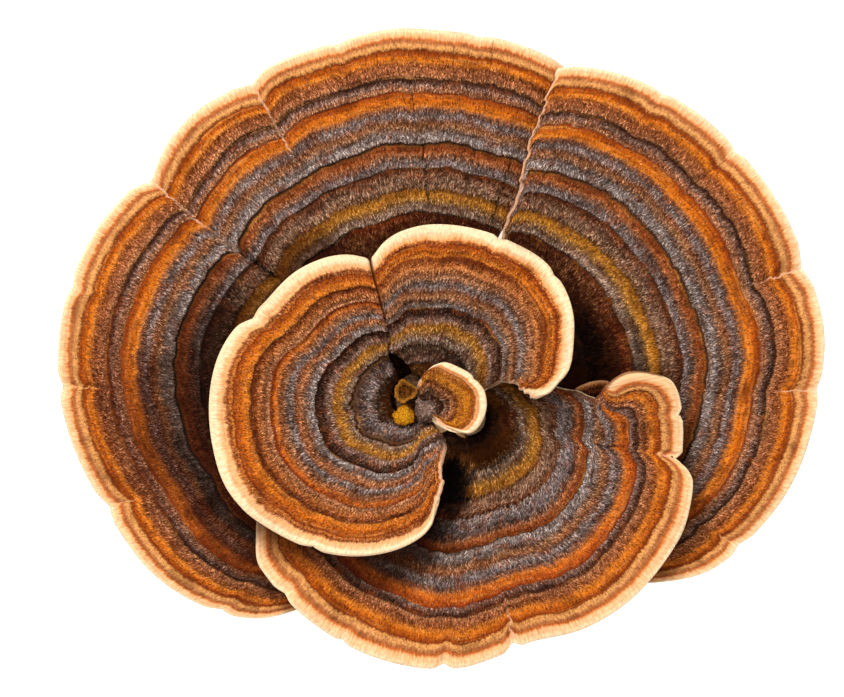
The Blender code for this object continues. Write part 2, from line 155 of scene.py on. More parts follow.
# Bands as (share of the radius where the band ends, colour, hair on it from 0 to 1)
BACK_BANDS = (
    (0.30, PIT, 0.5), (0.37, UMBER_DARK, 0.9), (0.41, PIT, 0.6), (0.46, UMBER, 1.0),
    (0.50, RUST_DARK, 0.9), (0.511, LINE_BLACK, 0.04), (0.538, HAIR_PALE, 0.9), (0.573, GOLD, 0.5),
    (0.582, UMBER_DARK, 0.5), (0.625, GREY_BROWN, 1.0), (0.633, LINE_BLACK, 0.04), (0.663, SLATE, 1.0),
    (0.687, RUST, 0.5), (0.700, LINE_BLACK, 0.04), (0.738, SLATE_LIGHT, 1.0), (0.764, SMOKE, 0.8),
    (0.788, SLATE, 0.9), (0.825, ORANGE, 0.2), (0.834, LINE_RED, 0.04), (0.850, TAN_PINK, 0.8),
    (0.863, MAUVE, 0.9), (0.872, LINE_BLACK, 0.04), (0.908, PINK_BROWN, 0.7), (0.936, ORANGE, 0.2),
    (0.944, LINE_RED, 0.04), (0.969, OCHRE, 0.1), (0.973, RUST, 0.04), (0.981, PALE_TAN, 0.0),
    (0.992, PEACH, 0.0), (1.0, CREAM, 0.0),
)
FRONT_BANDS = (
    (0.12, PIT, 0.5), (0.14, UMBER_DARK, 0.8), (0.215, GOLD_OLIVE, 0.8), (0.24, PIT, 0.5),
    (0.275, HAIR_PALE, 0.9), (0.335, GOLD, 0.6), (0.35, UMBER_DARK, 0.6), (0.41, GREY_BROWN, 1.0),
    (0.42, UMBER_DARK, 0.5), (0.495, SLATE, 1.0), (0.53, RUST, 0.5), (0.542, LINE_BLACK, 0.04),
    (0.60, SLATE_LIGHT, 1.0), (0.64, SMOKE, 0.8), (0.69, SLATE, 0.9), (0.746, ORANGE_DEEP, 0.2),
    (0.755, LINE_RED, 0.04), (0.783, MAUVE, 0.9), (0.796, LINE_BROWN, 0.04), (0.84, PINK_BROWN, 0.7),
    (0.892, ORANGE, 0.2), (0.90, LINE_RED, 0.04), (0.942, OCHRE, 0.1), (0.949, RUST, 0.04),
    (0.965, PALE_TAN, 0.0), (0.985, PEACH, 0.0), (1.0, CREAM, 0.0),
)
UPPER_LEFT_BANDS = (
    (0.085, PIT, 0.5), (0.16, GOLD_OLIVE, 0.9), (0.20, PIT, 0.5), (0.28, SLATE, 1.0),
    (0.31, LINE_BLACK, 0.04), (0.34, HAIR_PALE, 0.9), (0.405, GOLD, 0.6), (0.445, MAUVE, 1.0),
    (0.466, UMBER_DARK, 0.8), (0.482, LINE_BLACK, 0.04), (0.53, SLATE_LIGHT, 1.0),
    (0.585, PINK_BROWN, 0.8), (0.62, SLATE, 1.0), (0.648, TAN_PINK, 0.7), (0.688, ORANGE_DEEP, 0.3),
    (0.697, LINE_RED, 0.04), (0.722, TAN_PINK, 0.7), (0.782, ORANGE_TAN, 0.6), (0.794, LINE_BROWN, 0.04),
    (0.87, ORANGE, 0.2), (0.882, LINE_RED, 0.04), (0.912, ORANGE_TAN, 0.3), (0.94, PALE_TAN, 0.0),
    (0.96, PEACH, 0.0), (1.0, CREAM, 0.0),
)
UPPER_RIGHT_BANDS = (
    (0.15, PIT, 0.6), (0.20, GOLD_OLIVE, 0.8), (0.225, LINE_BLACK, 0.04), (0.285, MAUVE, 1.0),
    (0.335, PIT, 0.5), (0.385, HAIR_PALE, 0.9), (0.455, GOLD, 0.6), (0.505, MAUVE, 1.0),
    (0.518, UMBER_DARK, 0.6), (0.535, LINE_BLACK, 0.04), (0.58, SLATE_LIGHT, 1.0), (0.643, SMOKE, 0.8),
    (0.69, SLATE, 0.9), (0.735, TAN_PINK, 0.6), (0.80, ORANGE_TAN, 0.4), (0.814, LINE_RED, 0.04),
    (0.88, ORANGE, 0.2), (0.89, LINE_RED, 0.04), (0.915, ORANGE_TAN, 0.2), (0.935, PALE_TAN, 0.0),
    (0.955, PEACH, 0.0), (1.0, CREAM, 0.0),
)
CENTRE_BANDS = (
    (0.26, MAUVE, 1.0), (0.30, LINE_BLACK, 0.04), (0.42, GREY_BROWN, 1.0), (0.54, PINK_BROWN, 0.8),
    (0.81, GOLD_ORANGE, 0.25), (0.83, RUST_DARK, 0.04), (0.88, PALE_TAN, 0.0),
    (0.90, ORANGE_TAN, 0.0), (1.0, CREAM, 0.0),
)
FLAP_BANDS = (
    (0.30, UMBER_DARK, 0.6), (0.50, RUST_DARK, 0.6), (0.56, LINE_BLACK, 0.04), (0.72, RUST, 0.6),
    (0.78, LINE_BROWN, 0.04), (0.92, ORANGE_TAN, 0.3), (1.0, PALE_TAN, 0.0),
)


# The caps

@dataclass
class Cap:
    """One fan-shaped sheet, or one lobe of it."""

    name: str
    node: str
    centre: tuple       # point that its growth bands circle
    ring: tuple         # middle of its inner edge, round the foot's neck
    ring_radius: float
    ring_height: float
    rim: Curve          # radius about the centre, by angle
    rim_height: Curve
    side_0: Curve       # angle of the clockwise side edge, by growth
    side_1: Curve
    notches: tuple      # (angle, depth, half width in degrees)
    thickness: Curve    # by growth
    bands: tuple
    steps: tuple        # (share of the radius, height) where the surface steps down
    folds: tuple        # (angle, from share, to share, depth, half width)
    # The next field holds spots of painted shade
    painted_shade_spots: tuple       # (angle, share, half angle, half share, strength) of darker places
    edges: tuple        # colours of its two side edges
    columns: int
    rows: int
    shown_from: float   # share of the growth from which it shows, where the fine rows start
    hairs: int
    seed: int
    # (from share, angle there, to share, angle there, half width, colour, how plain) of its creases. The
    # dark ones are painted shade in the fold
    creases: tuple = ()
    # (angle, share, half angle, half share, colour, strength) of patches of another colour. The black ones
    # are their own dark colour deepened with painted shade
    patches: tuple = ()
    fade: tuple = ()    # (from angle, to angle, share) by which its bands shift outward there

    @property
    def size(self):
        """Its middling radius."""
        return float(np.mean(self.rim.value))


NOTCH_REACH = 0.6
NOTCH_CURVE = 1.4
CREASE = 0.35
RISE_POWER = 1.6

THICK_LARGE = Curve((0, 2.5), (0.5, 1.7), (0.9, 1.2), (1, 0.8))
THICK_FRONT = Curve((0, 2.0), (0.5, 1.7), (0.9, 1.2), (1, 0.85))
THICK_UPPER = Curve((0, 2.0), (0.5, 1.6), (0.9, 1.25), (1, 0.95))
THICK_CENTRE = Curve((0, 0.6), (0.5, 0.9), (1, 0.7))
THICK_FLAP = Curve((0, 0.7), (1, 0.45))

BACK_STEPS = (
    (0.511, 0.3), (0.54, 0.08), (0.583, 0.1), (0.63, 0.12), (0.70, 0.35), (0.757, 0.12),
    (0.803, 0.15), (0.835, 0.28), (0.876, 0.16), (0.908, 0.1), (0.944, 0.3), (0.982, 0.06),
)

BACK_LEFT = Cap(
    name="cap_back_left",
    node="back_cap_left",
    centre=(0.0, 0.0),
    ring=(0.0, 0.0),
    ring_radius=5.3,
    ring_height=9.0,
    rim=Curve(
        (60, 46.0), (66, 49.8), (72, 51.9), (80, 52.7), (90, 53.2), (98, 53.9), (107, 53.7),
        (116, 54.1), (123, 53.9), (130, 54.5), (136, 54.2), (141, 53.3), (147, 54.3), (154, 55.4),
        (164, 55.9), (176, 55.3), (186, 53.7), (200, 50.5), (210, 48.8), (220, 45.8), (230, 41.4),
        (240, 33.0), (250, 24.0),
    ),
    rim_height=Curve(
        (64, 14.6), (76, 16.4), (90, 17.6), (106, 16.4), (121, 15.0), (132, 16.6), (143, 14.8),
        (156, 16.6), (170, 17.8), (186, 16.2), (198, 14.9), (212, 15.9), (226, 14.8), (240, 13.4),
    ),
    side_0=Curve((0.0, 71.5), (0.3, 71.5), (0.45, 69.5), (0.65, 67.0), (1.0, 66.5)),
    side_1=Curve((0.0, 250.0), (0.5, 247.0), (0.8, 243.0), (0.95, 239.0), (1.0, 236.5)),
    notches=(
        (84, 0.4, 2.5), (106, 0.4, 2.0), (120.9, 0.9, 3.2), (143.0, 1.1, 3.2), (163, 0.5, 2.5),
        (178, 0.7, 2.5), (198, 0.7, 3.0), (224, 0.6, 2.5),
    ),
    thickness=THICK_LARGE,
    bands=BACK_BANDS,
    steps=BACK_STEPS,
    folds=(
        (95.2, 0.55, 0.84, 0.35, 0.5), (93.3, 0.62, 0.76, 0.25, 0.4), (82.0, 0.6, 0.72, 0.35, 0.5),
        (73.4, 0.5, 0.68, 0.3, 0.5), (87.6, 0.86, 0.95, 0.25, 0.35), (81.4, 0.78, 0.99, 0.25, 0.4),
        (143.4, 0.53, 0.71, 1.4, 0.45), (121.0, 0.7, 1.0, 0.35, 0.5), (143.2, 0.7, 1.0, 0.45, 0.5),
        (178.0, 0.86, 1.0, 0.3, 0.4), (198.0, 0.9, 1.0, 0.3, 0.5), (108.0, 0.58, 0.7, 0.25, 0.5),
    ),
    painted_shade_spots=(
        (188, 0.64, 44, 0.12, 0.55), (197, 0.77, 26, 0.07, 0.4), (225, 0.72, 22, 0.2, 0.45),
        (135, 0.52, 16, 0.07, 0.5),
    ),
    edges=(EDGE_RUST, EDGE_RUST),
    columns=430,
    rows=150,
    shown_from=0.34,
    hairs=180000,
    seed=11,
    creases=(
        (0.72, 121.0, 0.99, 120.8, 0.13, EDGE_TAN, 0.9), (0.79, 143.6, 0.99, 142.9, 0.13, EDGE_TAN, 0.9),
        (0.68, 143.7, 0.76, 143.7, 0.5, HAIR_PALE, 0.6), (0.55, 142.8, 0.69, 143.6, 0.17, LINE_BLACK, 1.0),
        (0.52, 93.0, 0.72, 94.2, 0.16, LINE_BLACK, 0.9), (0.74, 95.2, 0.86, 95.4, 0.1, LINE_BLACK, 0.7),
        (0.60, 82.0, 0.74, 82.2, 0.1, LINE_BLACK, 0.8), (0.5, 73.4, 0.68, 73.6, 0.12, LINE_BLACK, 0.9),
        (0.86, 87.6, 0.96, 87.6, 0.08, LINE_BROWN, 0.7), (0.78, 81.2, 0.99, 81.6, 0.08, LINE_BROWN, 0.7),
        (0.9, 178.0, 1.0, 178.0, 0.08, PALE_TAN, 0.8), (0.92, 198.0, 1.0, 198.0, 0.08, PALE_TAN, 0.8),
    ),
    patches=(
        (172, 0.6, 26, 0.05, LINE_BLACK, 0.6), (190, 0.66, 22, 0.03, RUST_DARK, 0.7),
        (190, 0.775, 24, 0.03, RUST_DARK, 0.6),
        (205, 0.72, 20, 0.03, LINE_BLACK, 0.6), (108, 0.49, 12, 0.02, RUST, 0.6),
        (184, 0.86, 24, 0.06, RUST_DARK, 0.6), (215, 0.78, 16, 0.05, RUST, 0.5),
    ),
)

BACK_RIGHT = Cap(
    name="cap_back_right",
    node="back_cap_right",
    centre=(0.0, 0.0),
    ring=(0.0, 0.0),
    ring_radius=5.3,
    ring_height=9.0,
    rim=Curve(
        (-52, 31.0), (-46, 36.5), (-40, 41.2), (-32, 46.3), (-24, 49.2), (-14, 52.1), (0, 54.7),
        (12, 56.4), (28, 56.5), (44, 55.9), (56, 54.5), (64, 52.9), (70, 50.8), (76, 46.0),
    ),
    rim_height=Curve(
        (-46, 13.8), (-36, 15.6), (-26, 14.8), (-12, 16.8), (1, 15.4), (10, 16.8), (20, 15.4),
        (30, 17.2), (40, 16.2), (52, 17.4), (62, 17.6), (70, 18.0),
    ),
    side_0=Curve((0.0, -56.0), (0.5, -53.0), (0.8, -49.0), (0.95, -44.5), (1.0, -42.0)),
    side_1=Curve((0.0, 68.8), (0.4, 69.2), (0.6, 69.6), (0.8, 70.9), (1.0, 70.3)),
    notches=((-26, 0.6, 2.5), (1.5, 0.5, 2.6), (20, 0.9, 3.6), (40, 0.5, 2.0), (54, 0.4, 2.0)),
    thickness=THICK_LARGE,
    bands=BACK_BANDS,
    steps=BACK_STEPS,
    folds=(
        (20.3, 0.82, 1.0, 0.45, 0.5), (40.5, 0.84, 0.99, 0.3, 0.4), (1.5, 0.9, 1.0, 0.3, 0.4),
        (33.0, 0.84, 0.93, 0.25, 0.4), (65.0, 0.62, 0.7, 0.3, 0.5), (-26.0, 0.9, 1.0, 0.3, 0.5),
    ),
    painted_shade_spots=((18, 0.40, 36, 0.1, 0.8), (-30, 0.62, 22, 0.14, 0.6)),
    edges=(EDGE_RUST, EDGE_TAN),
    columns=330,
    rows=150,
    shown_from=0.34,
    hairs=95000,
    seed=23,
    creases=(
        (0.85, 20.1, 1.0, 20.0, 0.1, EDGE_TAN, 0.9), (0.9, 1.4, 1.0, 1.4, 0.09, EDGE_TAN, 0.8),
        (0.82, 40.4, 0.97, 40.0, 0.08, LINE_BROWN, 0.7), (0.84, 33.0, 0.93, 33.0, 0.07, LINE_BROWN, 0.6),
        (0.62, 65.0, 0.7, 65.4, 0.1, LINE_BLACK, 0.8),
        (0.92, -26.0, 1.0, -26.0, 0.08, PALE_TAN, 0.8),
    ),
    patches=(
        (18, 0.488, 13, 0.012, RUST, 0.9), (22, 0.42, 16, 0.03, LINE_BLACK, 0.8),
        (6, 0.36, 8, 0.03, GOLD_OLIVE, 0.6), (10, 0.53, 16, 0.018, LINE_BLACK, 0.6),
    ),
)
# The right cap's last degrees climb over the left cap's edge: height, angles, and growth up and down
CLIMB = 3.0
CLIMB_ANGLES = (48, 68)
CLIMB_UP = (0.1, 0.45)
CLIMB_DOWN = (0.5, 1.2)

FRONT = Cap(
    name="cap_front",
    node="front_cap",
    centre=(4.3, -2.8),
    ring=(4.2, -2.7),
    ring_radius=2.9,
    ring_height=12.3,
    rim=Curve(
        (-166, 29.0), (-160, 32.0), (-152, 34.9), (-145, 36.9), (-135, 36.9), (-120, 36.9),
        (-106, 36.5), (-92, 35.6), (-84, 34.4), (-74, 33.1), (-60, 34.2), (-46, 34.6), (-30, 34.6),
        (-20, 33.8), (-15, 33.2), (-10, 31.0), (-2, 30.6), (6, 30.2), (10.6, 29.5), (14, 27.6),
        (20, 25.6), (40, 24.0), (75, 22.0),
    ),
    rim_height=Curve(
        (-162, 18.6), (-150, 19.4), (-136, 20.8), (-120, 19.4), (-104, 21.0), (-90, 20.2),
        (-79, 19.0), (-66, 20.6), (-48, 21.4), (-32, 20.2), (-20, 21.2), (-10, 20.0), (2, 21.8),
        (14, 23.2), (40, 22.6),
    ),
    side_0=Curve((0.0, -150.0), (0.3, -157.0), (0.6, -163.0), (0.9, -162.0), (1.0, -160.0)),
    side_1=Curve(
        (0.0, 85.0), (0.12, 75.0), (0.3, 45.0), (0.44, 19.0), (0.5, 13.0), (0.55, 8.6),
        (0.6, 10.8), (0.64, 12.3), (0.69, 13.8), (0.77, 15.8), (0.86, 16.9), (0.94, 15.6), (1.0, 12.6),
    ),
    notches=(
        (-137, 0.5, 3.0), (-120, 0.4, 2.0), (-96, 0.8, 2.5), (-79, 1.0, 2.5), (-10.5, 0.9, 2.2),
        (1.5, 0.5, 2.0),
    ),
    thickness=THICK_FRONT,
    bands=FRONT_BANDS,
    steps=(
        (0.24, 0.15), (0.34, 0.1), (0.41, 0.12), (0.54, 0.4), (0.64, 0.12), (0.695, 0.1),
        (0.756, 0.35), (0.80, 0.18), (0.865, 0.12), (0.902, 0.35), (0.958, 0.08),
    ),
    folds=(
        (-79.0, 0.72, 1.0, 0.45, 0.5), (-10.5, 0.82, 1.0, 0.5, 0.5), (-96.0, 0.86, 1.0, 0.35, 0.4),
        (-76.0, 0.45, 0.6, 0.25, 0.6), (-137.0, 0.9, 1.0, 0.25, 0.4),
    ),
    painted_shade_spots=((-30, 0.14, 90, 0.08, 0.7), (-112, 0.3, 26, 0.14, 0.8), (-125, 0.6, 22, 0.2, 0.5)),
    edges=(EDGE_RUST, EDGE_RUST),
    columns=400,
    rows=130,
    shown_from=0.12,
    hairs=85000,
    seed=37,
    creases=(
        (0.78, -78.8, 1.0, -79.0, 0.12, EDGE_TAN, 0.9), (0.9, -10.5, 1.0, -10.5, 0.1, EDGE_TAN, 0.8),
        (0.6, -12.0, 0.72, -10.0, 0.22, LINE_BROWN, 0.9), (0.45, -76.0, 0.6, -77.0, 0.1, LINE_BLACK, 0.6),
    ),
    patches=(
        (-50, 0.17, 50, 0.05, GOLD_OLIVE, 0.7), (10, 0.2, 25, 0.05, RUST_DARK, 0.6),
        (-112, 0.28, 26, 0.13, LINE_BLACK, 1.0), (-120, 0.46, 22, 0.06, LINE_BLACK, 0.8),
    ),
)

UPPER_LEFT = Cap(
    name="cap_upper_left",
    node="upper_cap",
    centre=(-5.0, 0.1),
    ring=(-3.9, 0.2),
    ring_radius=3.2,
    ring_height=15.2,
    rim=Curve(
        (104, 20.6), (112, 22.2), (121, 23.2), (132, 23.9), (143, 24.1), (151, 24.8), (158, 26.3),
        (168, 27.3), (182, 27.9), (194, 28.2), (204, 28.4), (214, 27.9), (224, 26.7), (236, 25.3),
        (249, 23.8), (260, 22.4), (270, 20.9), (278, 19.4), (283, 17.9), (287, 16.3), (300, 16.0),
    ),
    rim_height=Curve(
        (104, 24.4), (118, 26.4), (134, 27.0), (150, 26.0), (170, 27.4), (190, 26.2), (210, 27.2),
        (232, 25.6), (250, 26.8), (268, 25.8), (284, 25.4), (320, 25.2),
    ),
    side_0=Curve((0.0, 122.0), (0.13, 117.0), (0.27, 109.0), (0.36, 104.5), (1.0, 104.0)),
    side_1=Curve(
        (0.0, 312.0), (0.15, 313.0), (0.33, 312.0), (0.43, 306.0), (0.57, 299.0), (0.74, 294.5),
        (0.84, 290.0), (0.93, 287.0), (1.0, 283.0),
    ),
    notches=((152, 0.5, 4.0), (238, 0.4, 4.0)),
    thickness=THICK_UPPER,
    bands=UPPER_LEFT_BANDS,
    steps=(
        (0.185, 0.1), (0.325, 0.25), (0.415, 0.1), (0.484, 0.4), (0.53, 0.1), (0.595, 0.1),
        (0.632, 0.12), (0.688, 0.35), (0.72, 0.12), (0.79, 0.3), (0.90, 0.22), (0.937, 0.05),
    ),
    folds=(),
    painted_shade_spots=((150, 0.1, 120, 0.09, 0.7),),
    edges=(EDGE_RUST, EDGE_TAN),
    columns=340,
    rows=120,
    shown_from=0.0,
    hairs=62000,
    seed=41,
)

UPPER_RIGHT = Cap(
    name="cap_upper_right",
    node="upper_cap",
    centre=(-1.5, 0.8),
    ring=(-3.9, 0.2),
    ring_radius=3.2,
    ring_height=15.2,
    rim=Curve(
        (-6, 14.8), (-1.3, 15.6), (1, 17.0), (4.5, 18.1), (10, 20.0), (20, 21.7), (30, 23.4),
        (40, 24.5), (50, 25.0), (62, 24.6), (76, 24.4), (90, 24.2), (100, 23.6), (106, 22.8),
        (113, 21.2), (140, 19.0),
    ),
    rim_height=Curve(
        (-10, 25.0), (10, 26.0), (30, 27.2), (50, 26.2), (66, 27.4), (84, 26.4), (100, 26.0),
        (113, 24.4),
    ),
    side_0=Curve(
        (0.0, -8.0), (0.25, 2.0), (0.42, 8.0), (0.54, 7.7), (0.67, 4.3), (0.78, 1.0), (0.9, -1.2),
        (1.0, -1.0),
    ),
    side_1=Curve(
        (0.0, 92.0), (0.06, 104.0), (0.13, 114.0), (0.19, 119.0), (0.26, 123.0), (0.36, 126.0),
        (0.43, 126.5), (0.55, 121.6), (0.67, 118.6), (0.86, 115.5), (1.0, 113.0),
    ),
    notches=((44, 0.3, 3.0), (66, 0.4, 3.0)),
    thickness=THICK_UPPER,
    bands=UPPER_RIGHT_BANDS,
    steps=(
        (0.355, 0.25), (0.41, 0.1), (0.495, 0.1), (0.568, 0.4), (0.625, 0.1), (0.672, 0.1),
        (0.725, 0.3), (0.77, 0.12), (0.845, 0.3), (0.905, 0.2), (0.925, 0.05),
    ),
    folds=(),
    painted_shade_spots=(),
    edges=(EDGE_TAN, EDGE_RUST),
    columns=260,
    rows=110,
    shown_from=0.0,
    hairs=40000,
    seed=53,
)
# The crack between the upper cap's two lobes is open up to here, and closed by there
CRACK_OPEN = 0.16
CRACK_CLOSED = 0.22
CRACK_BLEND = 0.3

CENTRE = Cap(
    name="cap_centre",
    node="centre_cap",
    centre=(-2.2, -1.0),
    ring=(-1.9, -1.1),
    ring_radius=1.0,
    ring_height=19.0,
    rim=Curve(
        (-44, 3.0), (-37, 5.4), (-30, 7.5), (-19, 8.2), (-8, 8.6), (4, 8.8), (14, 8.8), (24, 8.4),
        (36, 8.0), (50, 7.4), (66, 7.0), (77, 6.2), (88, 5.2), (98, 4.2),
    ),
    rim_height=Curve((-44, 23.2), (-20, 24.6), (10, 26.0), (45, 26.2), (80, 25.0), (98, 23.6)),
    side_0=Curve((0.0, -55.0), (0.6, -46.0), (1.0, -38.0)),
    side_1=Curve((0.0, 130.0), (0.5, 112.0), (1.0, 95.0)),
    notches=((30, 0.25, 4.0),),
    thickness=THICK_CENTRE,
    bands=CENTRE_BANDS,
    steps=((0.36, 0.1), (0.62, 0.2), (0.86, 0.15)),
    folds=(),
    painted_shade_spots=(),
    edges=(EDGE_TAN, EDGE_TAN),
    columns=110,
    rows=50,
    shown_from=0.0,
    hairs=6000,
    seed=61,
    fade=(58, 90, 0.18),
)

FLAP = Cap(
    name="flap_side",
    node="side_flap",
    centre=(22.6, -0.6),
    ring=(22.4, -0.7),
    ring_radius=1.2,
    ring_height=16.2,
    rim=Curve((30, 3.4), (58, 3.6), (75, 3.4), (98, 3.2), (125, 3.3), (145, 3.7), (170, 3.8)),
    rim_height=Curve((30, 16.6), (70, 17.2), (110, 17.6), (150, 17.0)),
    side_0=Curve((0.0, 20.0), (1.0, 38.0)),
    side_1=Curve((0.0, 175.0), (1.0, 158.0)),
    notches=(),
    thickness=THICK_FLAP,
    bands=FLAP_BANDS,
    steps=((0.56, 0.1), (0.78, 0.1)),
    folds=(),
    painted_shade_spots=(),
    edges=(EDGE_RUST, EDGE_RUST),
    columns=70,
    rows=24,
    shown_from=0.0,
    hairs=1500,
    seed=67,
)

CAPS = (BACK_LEFT, BACK_RIGHT, FRONT, UPPER_LEFT, UPPER_RIGHT, CENTRE, FLAP)


# The shape of a cap's upper face

LOOSE_EDGES = {("cap_back_right", 1), ("cap_upper_right", 0), ("cap_upper_left", 1)}
STRAYS = ((20, 0.34, 2.6), (30, 0.2, 0.8))      # seed, mm sideways, mm along the edge


def loose(cap, side, grown):
    """Degrees by which a torn side edge strays from its smooth line."""
    if (cap.name, side) not in LOOSE_EDGES:
        return 0.0
    along = grown * cap.size
    stray = sum(
        wide * lumps(along / apart, 0 * along, cap.seed + seed + side) for seed, wide, apart in STRAYS
    )
    return np.degrees(stray / np.maximum(along, 4.0)) * ease(0.1, 0.3, grown)


def plain_surface(cap, across, grown, joined=True):
    """Angle, share of the radius, distance to the side edges, and place on a cap's upper face.

    Joined, the upper cap's right lobe is bent to meet the left one along their seam.
    """
    edge_0 = cap.side_0(grown) + loose(cap, 0, grown)
    edge_1 = cap.side_1(grown) + loose(cap, 1, grown)
    angle = edge_0 + (edge_1 - edge_0) * across
    reach = cap.rim(angle)
    notch = sum(
        deep * np.maximum(0.0, 1 - abs(angle - at) / half) ** NOTCH_CURVE for at, deep, half in cap.notches
    ) * ease(NOTCH_REACH, 1.0, grown)
    radius = cap.ring_radius + (reach - notch - cap.ring_radius) * grown
    share = (cap.ring_radius + (reach - cap.ring_radius) * grown) / reach
    to_ring = (1 - grown) ** 3
    turn = np.radians(angle)
    x = cap.centre[0] + (cap.ring[0] - cap.centre[0]) * to_ring + radius * np.cos(turn)
    y = cap.centre[1] + (cap.ring[1] - cap.centre[1]) * to_ring + radius * np.sin(turn)
    rise = 1 - (1 - grown) ** RISE_POWER
    z = cap.ring_height + (cap.rim_height(angle) - cap.ring_height) * rise - CREASE * notch
    if cap is BACK_RIGHT:
        climb = ease(*CLIMB_ANGLES, angle) * ease(*CLIMB_UP, grown) * (1 - ease(*CLIMB_DOWN, grown))
        z = z + CLIMB * climb
    side = np.minimum(across, 1 - across) * np.radians(edge_1 - edge_0) * radius
    side = np.where(across < 0.5, -side, side)
    place = np.stack([x, y, z], axis=-1)
    if cap is UPPER_RIGHT and joined:
        theirs = plain_surface(UPPER_LEFT, 0.0 * grown, grown)[3]
        mine = plain_surface(UPPER_RIGHT, 1.0 + 0.0 * grown, grown, joined=False)[3]
        near = ease(1 - CRACK_BLEND, 1.0, across) * ease(CRACK_OPEN, CRACK_CLOSED, grown)
        place = place + (theirs - mine) * near[..., None]
    return angle, share, side, place


# Where the bands turn along a side edge: (which edge, share they turn to, reach in mm, from share)
CURL = {
    "cap_back_right": (1, 1.0, 0.45, 0.4), "cap_upper_right": (0, 0.99, 0.9, 0.62),
    "cap_upper_left": (1, 0.99, 0.7, 0.5), "cap_front": (1, 0.972, 3.0, 0.58),
}
CURL_FADE = 0.15
BACK_CURL = 0.35        # the right back cap's bands turn in only this much
WANDERS = ((0.28, 7, 9), (0.16, 2.1, 5), (0.07, 0.7, 3))    # mm, and mm apart round the cap and outward
STEADY_SIZE = 16        # caps smaller than this have steadier bands
CREASE_PULL = 2.2       # bands shift outward at a crease by this many times its half width
CREASE_REACH = 0.5
CREASE_FADE = 0.03


def band_share(cap, angle, share, side):
    """Share of the radius as the bands see it: they wander, and turn in at creases and splits."""
    size = cap.size
    arc = np.radians(angle) * size
    wander = sum(
        far * lumps(arc / apart, share * size / apart_outward, cap.seed + number)
        for number, (far, apart, apart_outward) in enumerate(WANDERS)
    ) * min(1.0, size / STEADY_SIZE)
    turned = 0.0 * share
    for start, at_start, end, at_end, half, _, _ in cap.creases:
        at = at_start + (at_end - at_start) * (share - start) / (end - start)
        off = np.radians(angle - at) * share * size
        near = ease(start - CREASE_FADE, start, share) * ease(end + CREASE_FADE, end, share)
        turned = turned + CREASE_PULL * half * np.exp(-abs(off) / CREASE_REACH) * near
    if cap.fade:
        turned = turned - cap.fade[2] * size * ease(cap.fade[0], cap.fade[1], angle)
    if cap.name in CURL:
        edge, toward, reach, start = CURL[cap.name]
        mine = side > 0 if edge else side <= 0
        near = np.exp(-(side / reach) ** 2) * mine * ease(start, start + CURL_FADE, share)
        turned = turned + (toward - share) * size * near * (BACK_CURL if cap is BACK_RIGHT else 1.0)
    return share + (wander * ease(1.0, 0.9, share) + turned) / size


STEP_RISE = 0.2         # mm over which a step comes up
GROOVE = 0.25           # depth of the groove before a step, as a share of its height
STEPS_END = 1.02
WRINKLE = 0.1
GRAIN = 0.05
FOLD_WANDER = 0.35


def relief(cap, angle, share, seen_share):
    """Height of the steps, folds and wrinkles over the plain surface."""
    size = cap.size
    arc, out = np.radians(angle) * size, share * size
    rise = STEP_RISE / size
    height = 0.0 * share
    for (edge, high), (end, _) in zip(cap.steps, (*cap.steps[1:], (STEPS_END, 0))):
        fall = np.clip((seen_share - edge) / (end - edge), 0.0, 1.0)
        height = height + high * ease(edge - rise, edge + rise / 2, seen_share) * (1 - fall)
        groove = (seen_share - edge + rise) / rise
        height = height - GROOVE * high * np.exp(-groove ** 2)
    strength = 0.35 + 0.65 * lumps(arc / 9, out / 12, cap.seed + 3) ** 2
    wrinkles = lumps(arc / 1.5, out / 9, cap.seed + 4, 2) * ease(0.1, 0.4, share)
    height = height + WRINKLE * strength * wrinkles + GRAIN * lumps(arc / 0.8, out / 2.5, cap.seed + 5)
    for at, start, end, deep, half in cap.folds:
        wander = FOLD_WANDER * lumps(out / 3, 0 * out + at, cap.seed + 6)
        off = np.radians(angle - at) * share * size + wander
        along = ease(start - 0.02, start + 0.03, share) * (1 - ease(end - 0.03, end + 0.02, share))
        height = height - deep * np.exp(-(off / half) ** 2) * along
    return height


# Which caps lie over which, and so cast painted shade on them
COVERS = {
    "cap_back_left": ("cap_back_right", "cap_front", "cap_upper_left", "cap_upper_right"),
    "cap_back_right": ("cap_front", "cap_upper_left", "cap_upper_right"),
    "cap_front": ("cap_upper_left", "cap_upper_right", "cap_centre"),
    "cap_upper_right": ("cap_centre",),
    "flap_side": ("cap_front",),
}


# How far the painted shade of a cap reaches past its edge on those below
COVER_REACH = {
    "cap_back_right": 1.2, "cap_front": 3.6, "cap_upper_left": 5.2, "cap_upper_right": 4.6,
    "cap_centre": 3.0,
}
UNDER_REACH = 2.5       # and how far under its edge it takes to grow full


def outline(cap):
    """The cap's edge as seen from above, as a closed ring of points."""
    even, ends = np.linspace(0, 1, 120), np.linspace(0, 1, 40)
    runs = (
        (even, 1 + 0 * even), (1 + 0 * ends, ends[::-1]), (even[::-1], 0 * even), (0 * ends, ends),
    )
    return np.concatenate([plain_surface(cap, across, grown)[3][:, :2] for across, grown in runs])


def inside(points, ring):
    """Which of the points the ring runs round."""
    x, y = points[:, 0], points[:, 1]
    odd = np.zeros(len(points), dtype=bool)
    for (x0, y0), (x1, y1) in zip(ring, np.roll(ring, -1, axis=0)):
        if y0 != y1:
            crosses = (y0 > y) != (y1 > y)
            odd ^= crosses & (x < (x1 - x0) * (y - y0) / (y1 - y0) + x0)
    return odd


